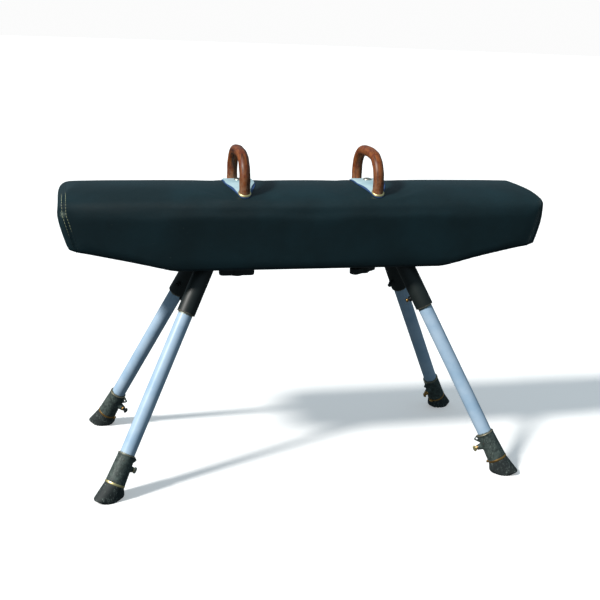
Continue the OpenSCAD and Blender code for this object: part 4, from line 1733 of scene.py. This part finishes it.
        def wear(point: Vector) -> float:
            """Rubbed round the feet of the grip and round the bolt's head.

            Args:
                point: a point of the piece.

            Returns:
                A share from 0 to 1.
            """
            foot = math.hypot(point.x - self.x, abs(point.y) - self.half)
            bolt = math.hypot(point.x - self.x, point.y)
            return max(0.9 - abs(foot - self.r) / 0.01, 0.8 - abs(bolt - self.dome_d / 2) / 0.008, 0.15)

        plate = self.layer(self.plate_r, top, self.plan(self.base_flank, self.end_r), 0.0008)
        self.bench.piece("base_plate_" + self.side, plate, Look.BASE, body, "pommel_base_" + self.side,
                         wear=wear)
        # Its deep blue flank also paints the shade along the base plate's side.
        packing = self.layer(self.plate_r - self.packing_t, self.plate_r - 0.00005,
                             self.plan(self.packing_flank, self.end_r + 0.0015), 0.0006)
        self.bench.piece("packing_" + self.side, packing, Look.PACKING, body,
                         "pommel_packing_" + self.side)

    def rims(self) -> None:
        """The thin metal rims round the feet of the grip."""
        top = self.plate_r + self.base_t
        tilt = math.asin(self.half / top)
        parts = []
        for sign in (-1, 1):
            ring = turned([(self.r - 0.0006, -0.0036), (self.r + 0.0027, -0.0036), (self.r + 0.0031, -0.003),
                           (self.r + 0.0031, 0.0006), (self.r + 0.0022, 0.0018), (self.r + 0.0004, 0.0024),
                           (self.r - 0.0006, 0.0024)])
            shear = Matrix.Identity(4)
            shear[2][1] = -sign * math.tan(tilt)
            place = Matrix.Translation((self.x, sign * self.half, self.lift(self.half, top) + 0.0003))
            parts.append(moved(ring, place @ shear))
        self.bench.piece("grip_rims_" + self.side, joined(parts), Look.RIM, "pommel_" + self.side)

    def rod(self) -> None:
        """The draw rod with its domed head."""
        seat = self.crown_z + self.plate_r + self.base_t
        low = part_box("draw_rod_" + self.side)[0].z
        r, head = self.rod_d / 2, self.dome_d / 2
        profile = [(0, low), (r - 0.001, low), (r, low + 0.001), (r, seat + 0.0005), (head, seat - 0.0001),
                   (head, seat + 0.0012)]
        profile += [(head * math.cos(a), seat + 0.0012 + 0.0055 * math.sin(a))
                    for a in (math.radians(d) for d in (15, 30, 45, 60, 75))]
        profile.append((0, seat + 0.0067))
        bm = turned(profile, closed=False, segments=48)
        self.bench.piece("draw_bolt_" + self.side, moved(bm, Matrix.Translation((self.x, 0, 0))), Look.ZINC,
                         "pommel_" + self.side, "draw_rod_" + self.side)

    def hand_nut(self) -> None:
        """The two-armed cast nut under the body."""
        node = "hand_nut_" + self.side
        low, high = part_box(node)
        turn = math.radians(37) if self.side == "right" else 0.0
        tip, half_w = self.nut_span / 2, self.arm_w / 2
        boss = turned([(0.0086, 0), (0.0215, 0), (0.023, 0.002), (0.023, self.nut_h - 0.002),
                       (0.0215, self.nut_h), (0.0086, self.nut_h)])
        arms = []
        for sign in (-1, 1):
            arm = prism([(sign * 0.012, -half_w), (sign * (tip - 0.004), -half_w),
                         (sign * (tip - 0.004), half_w), (sign * 0.012, half_w)], 0, self.arm_h)
            soften(arm, 0.013, 5, where=lambda p, s=sign: p.x * s > tip - 0.01
                   and 0.002 < p.z < self.arm_h - 0.002)
            soften(arm, 0.005, 3, angle=60.0)
            arms.append(arm)
        bm = fused([boss, *arms], 0.0021, smooth=3)
        place = Matrix.Translation(((low.x + high.x) / 2, (low.y + high.y) / 2, low.z))
        self.bench.piece("hand_nut_casting_" + self.side, bm, Look.BLACK, "nut_" + self.side, node,
                         matrix=place @ Matrix.Rotation(turn, 4, "Z"), crease=60.0,
                         wear=lambda p: 0.5 if math.hypot(p.x, p.y) > tip - 0.012 else 0.1)

    def build(self) -> None:
        """Makes every piece of the pommel."""
        self.grip()
        self.plate()
        self.rims()
        self.rod()
        self.hand_nut()


# ---------- what the body holds inside, and its ironwork ----------


@dataclass
class Core:
    """The wooden core, felt and plates, which keep their CAD shape under their own finishes."""

    bench: Bench

    def build(self) -> None:
        """Dresses the inner pieces and breaks the edges of the ironwork that shows."""
        sides = ("left", "right")
        self.bench.dress(Look.BOARDS, "core_top_board", "core_bottom_board", "core_ribs", "core_side_front",
                         "core_side_rear", *("core_slope_" + s for s in sides),
                         *("core_block_" + s for s in sides))
        self.bench.dress(Look.FELT, "padding")
        self.bench.dress(Look.BLACK, *("leg_plate_" + s for s in sides), *("sleeve_tie_" + s for s in sides))
        self.bench.dress(Look.TACK, "cover_tacks")
        self.bench.remade("plate_bolts", Look.ZINC, 0.0006)
        self.bench.remade("sleeve_nuts", Look.BLACK, 0.0006)
        for side in sides:
            self.bench.remade("clamp_rail_" + side, Look.BLACK, 0.0012)


# ---------- studio ----------


@dataclass
class Studio:
    """Camera, lights and a pale floor."""

    eye: Point = (-0.7576, -3.2042, 1.4705)
    yaw: float = 13.34
    pitch: float = 15.68
    roll: float = 2.05
    lens: float = 59.74
    sun_azimuth: float = -67.0
    sun_height: float = 42.0
    sun_strength: float = 4.3
    sun_width: float = 8.0
    sky: Colour = (0.22, 0.30, 0.35)
    ground: Colour = (0.07, 0.085, 0.09)
    backdrop: Colour = (0.97, 0.97, 0.97)

    def camera(self) -> None:
        """The camera at the eye, turned right by yaw, down by pitch and rolled."""
        cam = placed("camera", bpy.data.cameras.new("camera"))
        cam.data.lens = self.lens
        cam.data.sensor_width = 36.0
        cam.data.clip_end = 200.0
        turn = (Matrix.Rotation(-math.radians(self.yaw), 4, "Z")
                @ Matrix.Rotation(math.radians(90 - self.pitch), 4, "X")
                @ Matrix.Rotation(math.radians(self.roll), 4, "Z"))
        cam.matrix_world = Matrix.Translation(self.eye) @ turn
        bpy.context.scene.camera = cam

    def lights(self) -> None:
        """A soft sun from the front left, and a sky that lights more than the ground does."""
        sun = placed("sun", bpy.data.lights.new("sun", "SUN"))
        sun.data.energy = self.sun_strength
        sun.data.angle = math.radians(self.sun_width)
        sun.data.color = (1.0, 0.975, 0.93)
        sun.rotation_euler = (math.radians(90 - self.sun_height), 0, math.radians(self.sun_azimuth))
        sky = Shader(bpy.data.worlds.new("sky"))
        up = sky.axis(sky.node("ShaderNodeTexCoord", output="Generated"), "Z")
        glow = sky.node("ShaderNodeBackground", {},
                        {"Color": sky.mix(up.between(-0.15, 0.25), self.ground, self.sky)})
        seen = sky.node("ShaderNodeBackground", {}, {"Color": self.backdrop})
        either = sky.node("ShaderNodeMixShader", {},
                          {0: sky.node("ShaderNodeLightPath", output="Is Camera Ray"), 1: glow, 2: seen})
        sky.node("ShaderNodeOutputWorld", {}, {"Surface": either}, output=None)
        bpy.context.scene.world = sky.owner
        bpy.context.scene.view_settings.view_transform = "Standard"

    def floor(self) -> None:
        """A wide pale disc under the object."""
        bm = bmesh.new()
        bmesh.ops.create_circle(bm, cap_ends=True, segments=96, radius=60.0)
        floor = as_object("floor", bm)
        bm.free()
        shader = Shader(bpy.data.materials.new("floor_paint"))
        cloud = shader.noise(shader.place(), 0.7, 3.0)
        tone = shader.mix(cloud, (0.80, 0.80, 0.80), (0.86, 0.86, 0.86))
        floor.data.materials.append(shader.finish(Base_Color=tone, Roughness=0.95, Emission_Color=(1, 1, 1),
                                                  Emission_Strength=0.3))
        floor.visible_diffuse = floor.visible_glossy = False

    def build(self) -> None:
        """Sets the whole stage."""
        self.camera()
        self.lights()
        self.floor()


def main() -> None:
    """Builds the horse round its frame, class by class."""
    logging.basicConfig(level=logging.INFO, format="%(name)s %(message)s")
    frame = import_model()
    Studio().build()
    bench = Bench(frame)
    PaddedBody(bench).build()
    for key in ("fl", "fr", "rl", "rr"):
        Leg(bench, key).build()
    for side in ("left", "right"):
        Pommel(bench, side).build()
    Core(bench).build()
    LOG.info("%d new pieces", bench.count)
    bpy.context.view_layer.update()


if __name__ == "__main__":
    main()
